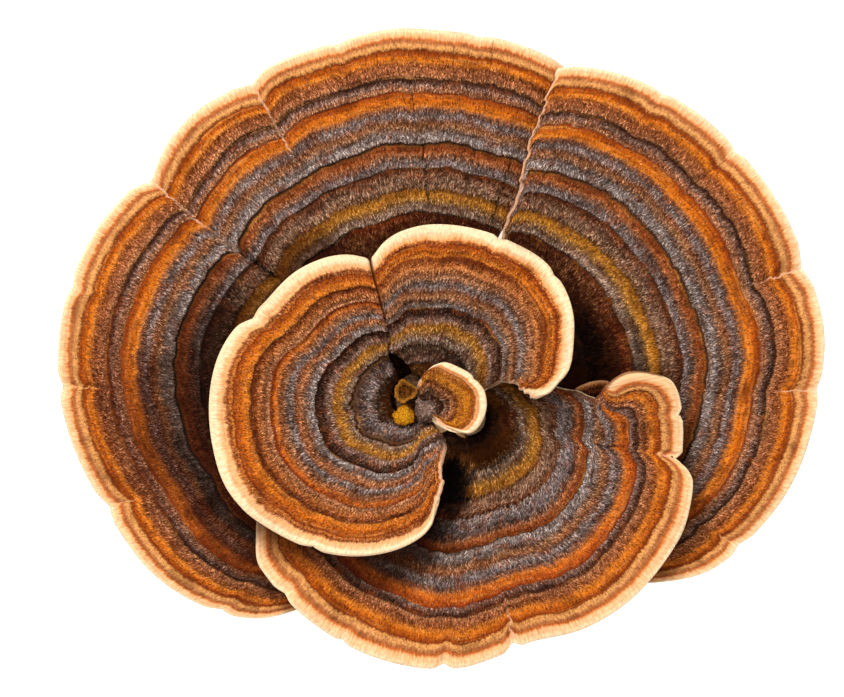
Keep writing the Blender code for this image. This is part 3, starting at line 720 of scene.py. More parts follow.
def paint_sky_light(cap, place):
    """Painted sky light by how far each point is from under the caps above it: 0 there, 1 well clear of
    them.
    """
    flat = place.reshape(-1, 3)[:, :2]
    clear = np.ones(len(flat))
    for above in CAPS:
        if above.name not in COVERS.get(cap.name, ()):
            continue
        ring = outline(above)
        nearest = np.full(len(flat), np.inf)
        for point in ring[::3]:
            nearest = np.minimum(nearest, ((flat - point) ** 2).sum(axis=1))
        nearest = np.sqrt(nearest) * np.where(inside(flat, ring), -1, 1)
        clear = np.minimum(clear, ease(-UNDER_REACH, COVER_REACH[above.name], nearest))
    return clear.reshape(place.shape[:-1])


def direction(vectors):
    return vectors / np.maximum(np.linalg.norm(vectors, axis=-1, keepdims=True), 1e-9)


SMALL = 0.004           # step across and outward by which the surface's directions are found
FLAT_RIM = 0.985        # share of the growth from which the relief fades out towards the rim


def surface(cap, across, grown):
    """The finished upper face: numbers for the finish, place, way out and way up at each point."""
    angle, share, side, place = plain_surface(cap, across, grown)
    out = plain_surface(cap, across, np.minimum(grown + SMALL, 1.0))[3]
    back = plain_surface(cap, across, np.maximum(grown - SMALL, 0.0))[3]
    left = plain_surface(cap, np.minimum(across + SMALL, 1.0), grown)[3]
    right = plain_surface(cap, np.maximum(across - SMALL, 0.0), grown)[3]
    outward = direction(out - back)
    up = direction(np.cross(outward, left - right))
    seen = band_share(cap, angle, share, side)
    raised = relief(cap, angle, share, seen)
    return angle, seen, side, place, outward, up, raised


def rows_of(cap):
    """Growth of the sheet's rows: a few hidden ones, then fine even ones."""
    last = 1 - float(cap.thickness(1.0)) / 2 / cap.size
    hidden = np.linspace(0, cap.shown_from, max(2, int(cap.shown_from * 40)), endpoint=False)
    if not cap.shown_from:
        hidden = hidden[:0]
    return np.concatenate([hidden, np.linspace(cap.shown_from, last, cap.rows)])


CLOSE_COLUMNS = (0.0, 0.03, 0.1, 0.2, 0.33, 0.5, 0.75)     # mm from a side edge
EVEN_FROM = 1.1


def columns_of(cap):
    """Where its columns stand: even, with closer ones along both side edges."""
    width = math.radians(cap.side_1(0.7) - cap.side_0(0.7)) * cap.size * 0.7
    close = np.array(CLOSE_COLUMNS) / width
    even = np.linspace(EVEN_FROM / width, 1 - EVEN_FROM / width, cap.columns)
    return np.concatenate([close, even, 1 - close[::-1]])


def rounded(side, thick):
    """How full the sheet is at this distance from its side edges, which are half round."""
    return np.sqrt(np.maximum(0.0, 1 - (1 - np.minimum(1.0, abs(side) / (thick / 2))) ** 2))


RIM_TURNS = np.radians([62, 38, 13, -13, -38, -62])
UNDER_ROWS = 34
PORE_RELIEF = 0.06


def cap_body(cap):
    """A closed sheet: its upper face, round the rim, its underside, and back to the ring."""
    columns, grown = columns_of(cap), rows_of(cap)
    across, rows = np.meshgrid(columns, grown)
    angle, seen, side, place, outward, up, raised = surface(cap, across, rows)
    thick = cap.thickness(rows)
    round_off = rounded(side, thick)
    half = thick * round_off / 2
    middle = place - up * (thick / 2)[..., None]
    top = middle + up * (half + raised * round_off * ease(1.0, FLAT_RIM, rows))[..., None]
    arc = np.radians(angle) * cap.size
    pores = PORE_RELIEF * lumps(arc / 2.2, rows * cap.size / 3, cap.seed + 7, 2)
    bottom = middle - up * (half + pores * round_off)[..., None]
    under = np.unique(np.round(np.linspace(0, len(grown) - 1, UNDER_ROWS)).astype(int))[::-1]
    rim = [
        middle[-1] + half[-1][:, None] * (math.cos(turn) * outward[-1] + math.sin(turn) * up[-1])
        for turn in RIM_TURNS
    ]
    points = np.concatenate([top, np.stack(rim), bottom[under]])
    rim_shape = (len(rim), len(columns))
    growth = np.concatenate([
        np.stack([angle, seen, side], axis=-1),
        np.stack([np.broadcast_to(angle[-1], rim_shape), np.ones(rim_shape),
                  np.broadcast_to(side[-1], rim_shape)], axis=-1),
        np.stack([angle, rows, side], axis=-1)[under],
    ])
    below = np.concatenate([
        np.zeros(top.shape[:2]),
        np.repeat(np.linspace(0, 1, len(rim))[:, None], len(columns), axis=1),
        np.ones((len(under), len(columns))),
    ])
    return points * MM, growth, below


def read(items, name, width=1, kind=float):
    """What these items of a mesh hold under a name, as an array."""
    values = np.empty(len(items) * width, dtype=kind)
    items.foreach_get(name, values)
    return values.reshape(-1, width) if width > 1 else values


def mark(mesh, name, values):
    """Give each vertex a number, or three of them, for its finish to read."""
    kind, field = ("FLOAT_VECTOR", "vector") if values.ndim > 1 else ("FLOAT", "value")
    made = mesh.attributes.new(name, kind, "POINT")
    made.data.foreach_set(field, values.astype(np.float32).ravel())


def tidy_mesh(piece, holes=0):
    """Drop its primitive's layout, merge its doubles, close small gaps and turn its faces outward."""
    for layer in list(piece.data.uv_layers):
        piece.data.uv_layers.remove(layer)
    bpy.ops.object.select_all(action="DESELECT")
    piece.select_set(True)
    bpy.context.view_layer.objects.active = piece
    bpy.ops.object.mode_set(mode="EDIT")
    bpy.ops.mesh.select_all(action="SELECT")
    bpy.ops.mesh.remove_doubles(threshold=0.000001)
    bpy.ops.mesh.select_all(action="SELECT")
    if holes:
        bpy.ops.mesh.fill_holes(sides=holes)
        bpy.ops.mesh.select_all(action="SELECT")
    bpy.ops.mesh.normals_make_consistent(inside=False)
    bpy.ops.object.mode_set(mode="OBJECT")


UPPER_PART = 0.72       # share of a cap's layout for its upper face. The underside has the rest
LAYOUT_GAP = 0.02


def layout_by_place(piece):
    """Lay the piece out flat as seen from above, its underside beside its upper face."""
    mesh = piece.data
    points = read(mesh.vertices, "co", 3, np.float32)[:, :2]
    corners = read(mesh.loops, "vertex_index", kind=np.int32)
    low, high = points.min(axis=0), points.max(axis=0)
    flat = ((points - low) / (high - low))[corners]
    if "below" in mesh.attributes:
        below = read(mesh.attributes["below"].data, "value", kind=np.float32)
        first = read(mesh.polygons, "loop_start", kind=np.int32)
        count = read(mesh.polygons, "loop_total", kind=np.int32)
        under = np.repeat(np.add.reduceat(below[corners], first) / count > 0.5, count)
        beside = UPPER_PART + LAYOUT_GAP
        flat[:, 0] = np.where(under, beside + flat[:, 0] * (1 - beside), flat[:, 0] * UPPER_PART)
    layer = mesh.uv_layers.new(name="OFBake")
    layer.data.foreach_set("uv", flat.astype(np.float32).ravel())


def add_cap(cap):
    """The cap's sheet as one closed piece in place of its solid."""
    points, growth, below = cap_body(cap)
    rows, columns = points.shape[:2]
    bpy.ops.mesh.primitive_grid_add(x_subdivisions=columns - 1, y_subdivisions=rows, size=1.0)
    piece = bpy.context.object
    piece.name = piece.data.name = cap.name
    mesh = piece.data
    closed = np.concatenate([points, points[:1]])
    mesh.vertices.foreach_set("co", closed.astype(np.float32).ravel())
    mark(mesh, "growth", np.concatenate([growth, growth[:1]]).reshape(-1, 3))
    mark(mesh, "below", np.concatenate([below, below[:1]]).ravel())
    mark(mesh, "sky", paint_sky_light(cap, closed / MM).ravel())
    tidy_mesh(piece, holes=12)
    mesh.shade_smooth()
    return piece


# Hair

HAIR_LENGTH = 0.66
HAIR_WIDTH = 0.1
HAIR_MIDDLE = 0.45      # where along a hair it is widest
SHORTEST = 0.16
ROOT_DEPTH = 0.03       # how deep a hair's root sits
TUFT = 0.55             # how wide a tuft of hairs is
TUFT_LEAN = 1.1         # how far its hairs lean towards its middle
BARE = 0.3              # a band with no more hair than this is a line or a bare rim


def bands_at(cap, seen):
    """Which band each share is in, where the bands end, and how much hair they have."""
    ends = np.array([end for end, _, _ in cap.bands])
    amounts = np.array([hair for _, _, hair in cap.bands])
    return np.clip(np.searchsorted(ends, seen), 0, len(ends) - 1), ends, amounts


def hair_roots(cap, wanted, random):
    """Where hairs stand, thicker on the velvety bands and none where the cap is hidden."""
    across, grown = [], []
    found = 0
    while found < wanted:
        try_across = random.uniform(0.0, 1.0, wanted)
        try_grown = np.sqrt(random.uniform(cap.shown_from ** 2, 0.99, wanted))
        angle, share, side, _ = plain_surface(cap, try_across, try_grown)
        band, _, amounts = bands_at(cap, band_share(cap, angle, share, side))
        keep = random.uniform(0.0, 1.0, wanted) < amounts[band] * ease(0.15, 0.5, abs(side))
        across.append(try_across[keep])
        grown.append(try_grown[keep])
        found += int(keep.sum())
    return np.concatenate(across)[:wanted], np.concatenate(grown)[:wanted]


def add_hair(cap, name, wanted, seed):
    """Velvet on a cap. The hairs lean inward, so each velvety band's fringe hangs over a line."""
    random = np.random.default_rng(seed)
    across, grown = hair_roots(cap, wanted, random)
    angle, seen, side, place, outward, up, raised = surface(cap, across, grown)
    sideways = direction(np.cross(up, outward))
    thick = cap.thickness(grown)
    round_off = rounded(side, thick)
    raised = raised * round_off * ease(1.0, FLAT_RIM, grown)
    root = place + up * (raised - (thick / 2) * (1 - round_off) - ROOT_DEPTH)[:, None]
    size = cap.size
    arc = np.radians(angle) * size
    comb = 0.3 * lumps(arc / 1.1, seen * size / 1.6, cap.seed + 8) + random.normal(0, 0.25, wanted)
    tuft = arc / TUFT + 1.5 * lumps(arc / 2.4, seen * size / 0.9, cap.seed + 9)
    from_middle = tuft - np.floor(tuft) - 0.5
    comb = comb - TUFT_LEAN * from_middle
    # Hairs towards a tuft's edge are darker: painted shade in the gaps between tufts
    tone = random.uniform(0.0, 1.0, wanted) * (1.1 - 2.6 * from_middle ** 2)
    way = direction(sideways * np.sin(comb)[:, None] - outward * np.cos(comb)[:, None])
    band, ends, amounts = bands_at(cap, seen)
    amount = amounts[band]
    length = HAIR_LENGTH * (0.45 + 0.55 * amount) * random.uniform(0.55, 1.3, wanted)
    length = length * min(1.0, 0.5 + size / 50) * (1 - 0.4 * ease(0.9, 1.0, grown))
    room = (seen - np.where(band > 0, ends[band - 1], 0.0)) * size + random.uniform(0.0, 0.2, wanted)
    stops = (band > 0) & (amounts[band - 1] <= BARE)
    length = np.where(stops, np.minimum(length, np.maximum(room, SHORTEST)), length)
    lift = random.uniform(0.04, 0.18, wanted) * (0.5 + 0.5 * amount)
    growth = np.stack([angle, seen, side], axis=-1)
    return hair_mesh(name, (root, way, up), length, lift, random, (growth, paint_sky_light(cap, root), tone))


def hair_mesh(name, stand, length, lift, random, marks):
    """Flat tapered hairs of two triangles each, joined into one mesh."""
    growth, sky, tone = marks
    root, way, up = stand
    wanted = len(root)
    tip_lift = lift * random.uniform(0.5, 1.7, wanted)
    twist = random.normal(0, 0.6, wanted)
    flat = direction(np.cross(way, up))
    wide = flat * np.cos(twist)[:, None] + up * np.sin(twist)[:, None]
    width = HAIR_WIDTH * random.uniform(0.7, 1.3, wanted)
    middle = root + way * (length * HAIR_MIDDLE)[:, None] + up * (lift + ROOT_DEPTH)[:, None]
    tip = root + way * length[:, None] + up * (tip_lift + ROOT_DEPTH)[:, None]
    points = np.stack(
        [root, middle - wide * (width / 2)[:, None], middle + wide * (width / 2)[:, None], tip], axis=1)
    corners = (np.arange(wanted)[:, None] * 4 + np.array([0, 2, 1, 1, 2, 3])).ravel()
    mesh = bpy.data.meshes.new(name)
    mesh.vertices.add(wanted * 4)
    mesh.vertices.foreach_set("co", (points * MM).astype(np.float32).ravel())
    mesh.loops.add(wanted * 6)
    mesh.loops.foreach_set("vertex_index", corners.astype(np.int32))
    mesh.polygons.add(wanted * 2)
    mesh.polygons.foreach_set("loop_start", np.arange(0, wanted * 6, 3, dtype=np.int32))
    mesh.update(calc_edges=True)
    strand = np.zeros((wanted, 4, 3))
    strand[:, :, 0] = tone[:, None]
    strand[:, :, 1] = [0.0, HAIR_MIDDLE, HAIR_MIDDLE, 1.0]
    mark(mesh, "growth", np.repeat(growth, 4, axis=0))
    mark(mesh, "strand", strand.reshape(-1, 3))
    mark(mesh, "sky", np.repeat(sky, 4))
    mesh.shade_smooth()
    piece = bpy.data.objects.new(name, mesh)
    bpy.context.scene.collection.objects.link(piece)
    layout_by_place(piece)
    return piece


# Foot, knob and buds

# Rings from the bottom pole to the top one: (radius, height, x, y)
FOOT_PATH = (
    (0.0, 0.0, 0.0, 0.0), (13.4, 0.0, 0.0, 0.0), (13.75, 0.35, 0.0, 0.0), (13.7, 0.9, 0.0, 0.0),
    (11.9, 2.2, 0.0, 0.0), (8.6, 3.8, 0.0, 0.0), (6.2, 5.2, 0.0, 0.0), (5.0, 6.2, 0.0, 0.0),
    (4.9, 9.1, 0.0, 0.0), (4.4, 9.8, -0.9, 0.1), (4.0, 11.2, -2.2, 0.15), (3.4, 12.4, -3.3, 0.2),
    (2.85, 13.1, -3.9, 0.2), (2.8, 14.5, -3.9, 0.2), (2.3, 15.0, -3.9, 0.2), (0.0, 15.1, -3.9, 0.2),
)
FOOT_LUMPS = ((2, 0.07, 20.0), (3, 0.07, 40.0), (5, 0.05, 100.0), (8, 0.03, 10.0))
FOOT_LUMPS_END = 6.0
NECK_PATH = (
    (0.0, 7.3, 0.6, -0.4), (2.6, 7.5, 0.6, -0.4), (2.55, 9.0, 1.8, -1.15), (2.5, 10.1, 3.4, -2.2),
    (2.5, 11.4, 4.2, -2.7), (2.0, 12.0, 4.2, -2.7), (0.0, 12.1, 4.2, -2.7),
)
KNOB_MIDDLE = (-1.9, -1.1, 18.0)
KNOB_RADIUS = 1.65
KNOB_HALF_HEIGHT = 2.1
BROWN_BUD_PATH = (
    (0.0, 15.5, -4.7, 1.0), (0.72, 15.6, -4.7, 1.0), (0.8, 16.3, -4.8, 1.1), (1.4, 17.1, -4.95, 1.3),
    (1.55, 17.5, -5.0, 1.35), (1.45, 17.6, -5.0, 1.35), (1.05, 17.4, -5.0, 1.35),
    (0.5, 17.1, -5.0, 1.35), (0.0, 17.0, -5.0, 1.35),
)
GOLD_BUD_PATH = (
    (0.0, 15.5, -4.7, -1.2), (0.68, 15.6, -4.7, -1.2), (0.8, 16.2, -4.9, -1.6),
    (1.2, 16.9, -5.1, -2.05), (1.38, 17.35, -5.2, -2.2), (1.3, 17.6, -5.2, -2.2),
    (0.95, 17.9, -5.1, -2.1), (0.5, 18.1, -5.05, -2.05), (0.0, 18.15, -5.05, -2.05),
)


def along_path(path, part):
    """Radius, height and middle at a share of the way along a path of rings."""
    path = np.array(path)
    steps = np.hypot(np.diff(path[:, 0]), np.linalg.norm(np.diff(path[:, 1:], axis=0), axis=1))
    way = np.concatenate(([0.0], np.cumsum(steps))) / steps.sum()
    return tuple(Curve(*zip(way, path[:, column]))(part) for column in range(4))


def add_turned(name, path, segments, rings, uneven):
    """A closed piece from a round primitive. uneven gives its radius's share and a swelling."""
    bpy.ops.object.select_all(action="DESELECT")
    bpy.ops.mesh.primitive_uv_sphere_add(segments=segments, ring_count=rings, radius=1.0)
    piece = bpy.context.object
    piece.name = piece.data.name = name
    mesh = piece.data
    x, y, z = read(mesh.vertices, "co", 3).T
    part = np.arccos(np.clip(-z, -1.0, 1.0)) / math.pi
    turn = np.arctan2(y, x)
    radius, height, middle_x, middle_y = along_path(path, part)
    share, swell = uneven(turn, part, height)
    radius = radius * share + swell * np.minimum(1.0, radius / 0.5)
    points = np.stack(
        [middle_x + radius * np.cos(turn), middle_y + radius * np.sin(turn), height], axis=-1)
    mesh.vertices.foreach_set("co", (points * MM).astype(np.float32).ravel())
    tidy_mesh(piece)
    mesh.shade_smooth()
    return piece


def around(turn, scale, height, seed, octaves=1):
    """Noise that meets itself after a full turn."""
    x, y = np.cos(turn) * scale + 40, np.sin(turn) * scale + 40
    return (lumps(x, height, seed, octaves) + lumps(y, height + 11, seed + 1, octaves)) / 1.4


def foot_uneven(turn, part, height):
    share = 1 + 0 * turn
    for count, deep, at in FOOT_LUMPS:
        share = share + deep * np.cos(count * (turn - math.radians(at))) * ease(FOOT_LUMPS_END, 0, height)
    swell = 0.22 * around(turn, 5, height / 2.5, 71, 3) + 0.12 * around(turn, 14, height / 4, 73, 2)
    return share, (swell - 0.1) * ease(0.0, 0.5, height)


def neck_uneven(turn, part, height):
    return 1 + 0 * turn, 0.12 * around(turn, 4, height, 75, 2)


def knob_uneven(turn, part, height):
    swell = 0.42 * around(turn, 1.5, height * 0.9, 77, 3)
    return 1 + 0.05 * np.cos(3 * turn + 1), swell


def bud_uneven(phase):
    def uneven(turn, part, height):
        frill = 0.09 * np.cos(3 * turn + phase) + 0.05 * np.cos(7 * turn - phase)
        return 1 + frill * ease(0.35, 0.6, part), 0.24 * around(turn, 1.9, height * 2, 79, 3)
    return uneven


def add_knob():
    x, y, z = KNOB_MIDDLE
    turns = np.linspace(-math.pi / 2, math.pi / 2, 13)
    path = [(KNOB_RADIUS * math.cos(turn), z + KNOB_HALF_HEIGHT * math.sin(turn), x, y) for turn in turns]
    path[0], path[-1] = (0.0, *path[0][1:]), (0.0, *path[-1][1:])
    return add_turned("knob", path, 72, 44, knob_uneven)


def steady_order(mesh):
    """The faces by their points' numbers, because their own order isn't the same each run."""
    corners = read(mesh.loops, "vertex_index", kind=np.int32)
    first = read(mesh.polygons, "loop_start", kind=np.int32)
    numbers = [sort.reduceat(corners, first) for sort in (np.add, np.maximum, np.minimum)]
    return np.lexsort(numbers)


UPWARD = 0.05           # faces that look up at least this much have fuzz


def add_fuzz(name, piece, wanted, length, seed):
    """Short hairs all over the upper part of a small piece, leaning every way."""
    random = np.random.default_rng(seed)
    mesh = piece.data
    order = steady_order(mesh)
    middles = read(mesh.polygons, "center", 3)[order] / MM
    ways = read(mesh.polygons, "normal", 3)[order]
    sizes = read(mesh.polygons, "area")[order]
    likely = sizes * (ways[:, 2] > UPWARD)
    face = random.choice(len(sizes), wanted, p=likely / likely.sum())
    up = ways[face]
    spread = np.sqrt(sizes[face] / MM ** 2)[:, None]
    root = middles[face] + random.uniform(-0.5, 0.5, (wanted, 3)) * spread
    root = root - up * (((root - middles[face]) * up).sum(axis=1) + ROOT_DEPTH)[:, None]
    way = direction(np.cross(up, random.normal(0, 1, (wanted, 3))))
    long = length * random.uniform(0.5, 1.3, wanted)
    lift = long * random.uniform(0.2, 0.6, wanted)
    marks = (np.zeros((wanted, 3)), np.ones(wanted), random.uniform(0.0, 1.0, wanted))
    return hair_mesh(name, (root, way, up), long, lift, random, marks)


# Finishes

def linear(colour):
    """A colour as the display shows it, as linear light."""
    shares = (part / 255 for part in colour)
    return tuple(s / 12.92 if s <= 0.04045 else ((s + 0.055) / 1.055) ** 2.4 for s in shares) + (1.0,)


class Number:
    """A number that varies over a finish. Python's own signs work on it."""

    def __init__(self, finish, socket):
        self.finish, self.socket = finish, socket

    def maths(self, operation, *others):
        return self.finish.maths(operation, self, *others)

    def __add__(self, other):
        return self.maths("ADD", other)

    __radd__ = __add__

    def __sub__(self, other):
        return self.maths("SUBTRACT", other)

    def __rsub__(self, other):
        return self.finish.maths("SUBTRACT", other, self)

    def __mul__(self, other):
        return self.maths("MULTIPLY", other)

    __rmul__ = __mul__

    def __truediv__(self, other):
        return self.maths("DIVIDE", other)

    def __pow__(self, other):
        return self.maths("POWER", other)

    def __gt__(self, other):
        return self.maths("GREATER_THAN", other)

    def __abs__(self):
        return self.maths("ABSOLUTE")


class Finish:
    """One material and the nodes that make it."""

    def __init__(self, name):
        self.material = bpy.data.materials.new(name)
        self.material.use_nodes = True
        self.tree = self.material.node_tree
        self.shader = self.tree.nodes["Principled BSDF"]

    def node(self, kind, settings=None, **inputs):
        """A node of this kind: its settings are made first, then its sockets by name."""
        made = self.tree.nodes.new("ShaderNode" + kind)
        for key, value in (settings or {}).items():
            if key == "stops":
                self.set_stops(made.color_ramp, value)
            else:
                setattr(made, key, value)
        for key, value in inputs.items():
            self.plug(made.inputs[int(key[1:]) if key[0] == "_" else key.replace("_", " ")], value)
        return made

    def set_stops(self, ramp, stops):
        while len(ramp.elements) > 1:
            ramp.elements.remove(ramp.elements[-1])
        ramp.elements[0].position, ramp.elements[0].color = stops[0]
        for place, colour in stops[1:]:
            ramp.elements.new(place).color = colour

    def plug(self, socket, value):
        if isinstance(value, Number):
            value = value.socket
        if isinstance(value, bpy.types.NodeSocket):
            self.tree.links.new(value, socket)
        else:
            socket.default_value = value

    def maths(self, operation, *values):
        inputs = {f"_{place}": value for place, value in enumerate(values)}
        return Number(self, self.node("Math", {"operation": operation}, **inputs).outputs[0])

    def parts(self, vector):
        made = self.node("SeparateXYZ", Vector=vector)
        return tuple(Number(self, socket) for socket in made.outputs)

    def vector(self, x=0.0, y=0.0, z=0.0):
        return self.node("CombineXYZ", X=x, Y=y, Z=z).outputs[0]

    def attribute(self, name):
        """A number that the piece's mesh has at each vertex."""
        return Number(self, self.node("Attribute", {"attribute_name": name}).outputs["Fac"])

    def attribute_parts(self, name):
        return self.parts(self.node("Attribute", {"attribute_name": name}).outputs["Vector"])

    def place(self):
        """Place on the piece in millimetres."""
        place = self.node("TexCoord").outputs["Object"]
        return self.brighten(place, 1000.0)

    def noise(self, vector, scale=1.0, detail=2.0, roughness=0.5):
        made = self.node("TexNoise", Vector=vector, Scale=scale, Detail=detail, Roughness=roughness)
        return Number(self, made.outputs["Fac"])

    def streaks(self, x, y, z, detail=3.0, roughness=0.6):
        """Noise whose bumps are 1 long in each of these numbers."""
        return self.noise(self.vector(x, y, z), 1.0, detail, roughness)

    def ease(self, start, end, value):
        made = self.node("MapRange", {"interpolation_type": "SMOOTHSTEP"}, Value=value)
        made.inputs["From Min"].default_value, made.inputs["From Max"].default_value = start, end
        return Number(self, made.outputs["Result"])

    def mix(self, share, first, second, blend="MIX"):
        made = self.node("Mix", {"data_type": "RGBA", "blend_type": blend})
        for number, value in ((0, share), (6, first), (7, second)):
            self.plug(made.inputs[number], value)
        return made.outputs[2]

    def tint(self, colour, share, other):
        """The colour with this share of another one, given as the display shows it."""
        return self.mix(share, colour, linear(other))

    def brighten(self, colour, amount):
        """The colour, or a place, times a number."""
        return self.node("VectorMath", {"operation": "SCALE"}, _0=colour, Scale=amount).outputs[0]

    def bump(self, height, distance):
        return self.node("Bump", Height=height, Distance=distance, Strength=1.0).outputs[0]

    def set(self, **inputs):
        for key, value in inputs.items():
            self.plug(self.shader.inputs[key.replace("_", " ")], value)


MOST_STOPS = 30         # in one ramp
LINE_SOFT = 0.12        # mm over which a band runs into a line, and into another band
WIDE_SOFT = 0.4
LINE_WIDE = 0.6         # a band narrower than this is a line
# Painted shade: a band darkens towards its end, at the groove before the next band's step
SHADED_FROM = 0.5       # mm before a line from where a wide band is darker
SHADED_WIDE = 1.2       # how wide that band is at least
SHADE_AT_LINE = 0.78     # how dark a band gets before a line, and before another band
BAND_END_SHADE = 0.42
WARM = 70               # a colour whose red is this much over its blue is warm


def blend(first, second, part):
    return tuple(a + (b - a) * part for a, b in zip(first, second))


def band_ends(colour, hair, deep):
    """What a band's colour blends with where it starts and where it ends, and how much. The dark blend at
    its end is painted shade.
    """
    if hair == 0:
        return (colour, 0.0), (colour, 0.0)
    if hair <= BARE:
        return (ORANGE_LIGHT, 0.35), (LINE_RED, 0.45)
    if colour in (GOLD, GOLD_OLIVE):
        return (GOLD_PALE, 0.4), (GOLD_DARK, deep * 0.8)
    if colour[0] - colour[2] > WARM:
        return (HAIR_WARM, 0.4), (RUST_DARK, deep)
    return (HAIR_PALE, 0.4), (UMBER_DARK, deep)


def band_stops(bands, size):
    """Ramp stops for the bands. Each is paler where it starts, and darker towards its end with painted
    shade before the next step.
    """
    stops, start = [], 0.0
    lines = [False] + [(this[0] - last[0]) * size < LINE_WIDE for last, this in zip(bands, bands[1:])]
    lines.append(False)
    for number, (end, colour, hair) in enumerate(bands):
        wide = end - start
        look = (*linear(colour)[:3], hair)
        if lines[number]:
            stops.append(((start + end) / 2, look))
        else:
            after_line, before_line = number > 0 and lines[number - 1], lines[number + 1]
            soft = [
                min(LINE_SOFT if line else WIDE_SOFT, wide * size * 0.3) / size
                for line in (after_line, before_line)
            ]
            deep = SHADE_AT_LINE if before_line else BAND_END_SHADE
            first, last = band_ends(colour, hair, deep)
            pale, dark = ((*linear(blend(colour, *tint))[:3], hair) for tint in (first, last))
            stops += [(start + soft[0], pale), (start + wide * 0.5, look)]
            if soft[1] * size == LINE_SOFT and wide * size > SHADED_WIDE:
                darker = blend(colour, last[0], deep * 0.35)
                stops.append((end - SHADED_FROM / size, (*linear(darker)[:3], hair)))
            stops.append((end - soft[1], dark))
        start = end
    return stops


def band_look(finish, share, bands, size):
    """The bands' colour and hair at a share of the radius, through as many ramps as it takes."""
    stops = band_stops(bands, size)
    colour = hair = None
    for first in range(0, len(stops), MOST_STOPS - 1):
        chosen = stops[first:first + MOST_STOPS]
        ramp = finish.node("ValToRGB", {"stops": chosen}, Fac=share)
        more = Number(finish, ramp.outputs["Alpha"])
        if colour is None:
            colour, hair = ramp.outputs["Color"], more
        else:
            past = share > chosen[0][0]
            colour = finish.mix(past, colour, ramp.outputs["Color"])
            hair = hair + past * (more - hair)
    return colour, hair


def growth_look(finish, cap, strands=True):
    """Colour of a cap's upper face from its bands, and how much of its light is left, as painted shade."""
    angle, share, side = finish.attribute_parts("growth")
    arc, out = angle * (math.pi / 180 * cap.size), share * cap.size

    def streaks(across, outward, seed, detail=3.0, roughness=0.6):
        return finish.streaks(arc * across, out * outward, float(cap.seed + seed), detail, roughness)

    def oval(spot, uneven):
        at, where, wide, deep = spot
        return ((angle - at) / wide) ** 2.0 + ((share - where) / deep) ** 2.0 + uneven

    ragged = streaks(2.6, 0.6, 5, 2.0, 0.5)
    line = streaks(0.09, 1.9, 9, 3.0, 0.65)
    patch = streaks(0.22, 0.3, 3, 3.0, 0.5)
    rusty = streaks(0.28, 0.8, 13)
    speck = streaks(1.2, 1.0, 21)
    clump = streaks(1.7, 1.2, 17, 2.0)
    stray = min(1.0, cap.size / STEADY_SIZE) / cap.size
    edge = share + (ragged - 0.5) * (0.9 * stray) + (patch - 0.5) * (0.6 * stray)
    colour, hair = band_look(finish, edge, cap.bands, cap.size)
    bare = finish.ease(0.08, 0.15, hair) * finish.ease(0.5, 0.3, hair)
    inner = finish.ease(cap.shown_from + 0.22, cap.shown_from + 0.12, share)
    colour = finish.tint(colour, finish.ease(0.5, 0.68, line) * bare * 0.5, ORANGE_LIGHT)
    colour = finish.tint(colour, finish.ease(0.5, 0.66, rusty) * bare * 0.6, RUST_DARK)
    colour = finish.tint(colour, finish.ease(0.52, 0.66, rusty) * hair * (1 - inner) * 0.6, RUST)
    colour = finish.tint(colour, finish.ease(0.5, 0.62, rusty) * hair * inner * 0.8, GOLD_OLIVE)
    colour = finish.tint(colour, finish.ease(0.54, 0.66, speck) * inner * 0.5, GREY_BROWN)
    colour = finish.tint(colour, finish.ease(0.55, 0.72, line) * 0.3 * hair, HAIR_WARM)
    light = 1 - finish.ease(0.5, 0.34, line) * (hair * 0.5 + 0.12)
    light = light * (1 - finish.ease(0.48, 0.3, patch) * 0.3 * finish.ease(0.0, 0.04, hair))
    light = light * (1 - finish.ease(0.52, 0.38, speck) * inner * 0.8)
    # Painted shade in the gaps between clumps and strands of hair
    light = light * (1 - finish.ease(0.5, 0.34, clump) * hair * 0.65)
    streak = ragged
    if strands:
        streak = streaks(4.0, 1.2, 0, 2.0)
        light = light * (1 - finish.ease(0.6, 0.38, streak) * (0.16 + hair * 0.6))
    # Patches of another colour; the black ones are partly painted shade
    for *spot, tint, strength in cap.patches:
        off = oval(spot, (rusty - 0.5) * 3.0)
        colour = finish.tint(colour, finish.ease(1.2, 0.3, off) * strength, tint)
    # Spots of painted shade, in the caps' deep middles and beside the caps above them
    for *spot, strength in cap.painted_shade_spots:
        off = oval(spot, (patch - 0.5) * 1.6)
        light = light * (1 - finish.ease(1.3, 0.2, off) * strength)
    # Creases: the dark ones paint shade in their fold, the pale ones show the cap's own edge, and the
    # light is evened along them
    for start, at_start, end, at_end, half, tint, plain in cap.creases:
        at = (share - start) * ((at_end - at_start) / (end - start)) + at_start
        off = (angle - at) * share * (math.pi / 180 * cap.size) + (rusty - 0.5) * 1.2
        near = finish.ease(1.5 * half, 0.5 * half, abs(off))
        near = near * finish.ease(start - 0.02, start + 0.03, share)
        near = near * finish.ease(end + 0.01, end - 0.01, share)
        colour = finish.tint(colour, near * plain, tint)
        light = light + (0.9 - light) * near * plain
    # Painted shade under and beside the caps above this one
    light = light * (0.06 + finish.attribute("sky") * 0.94)
    return colour, light, hair, (angle, share, side, streak)


WARM_SHADE = (0.34, 0.165, 0.085, 1.0)


def shaded(finish, colour, light):
    """The colour with this much of its light left. It turns a deep warm brown as it darkens."""
    deep = finish.mix((1 - light).maths("MAXIMUM", 0.0), colour, WARM_SHADE, "MULTIPLY")
    return finish.brighten(deep, 0.2 + light * 0.8)


STRIAE = 6.5            # fine streaks across the pale rim, for each millimetre round it
MARGIN = 1.2            # mm of the underside along the rim that have no pores


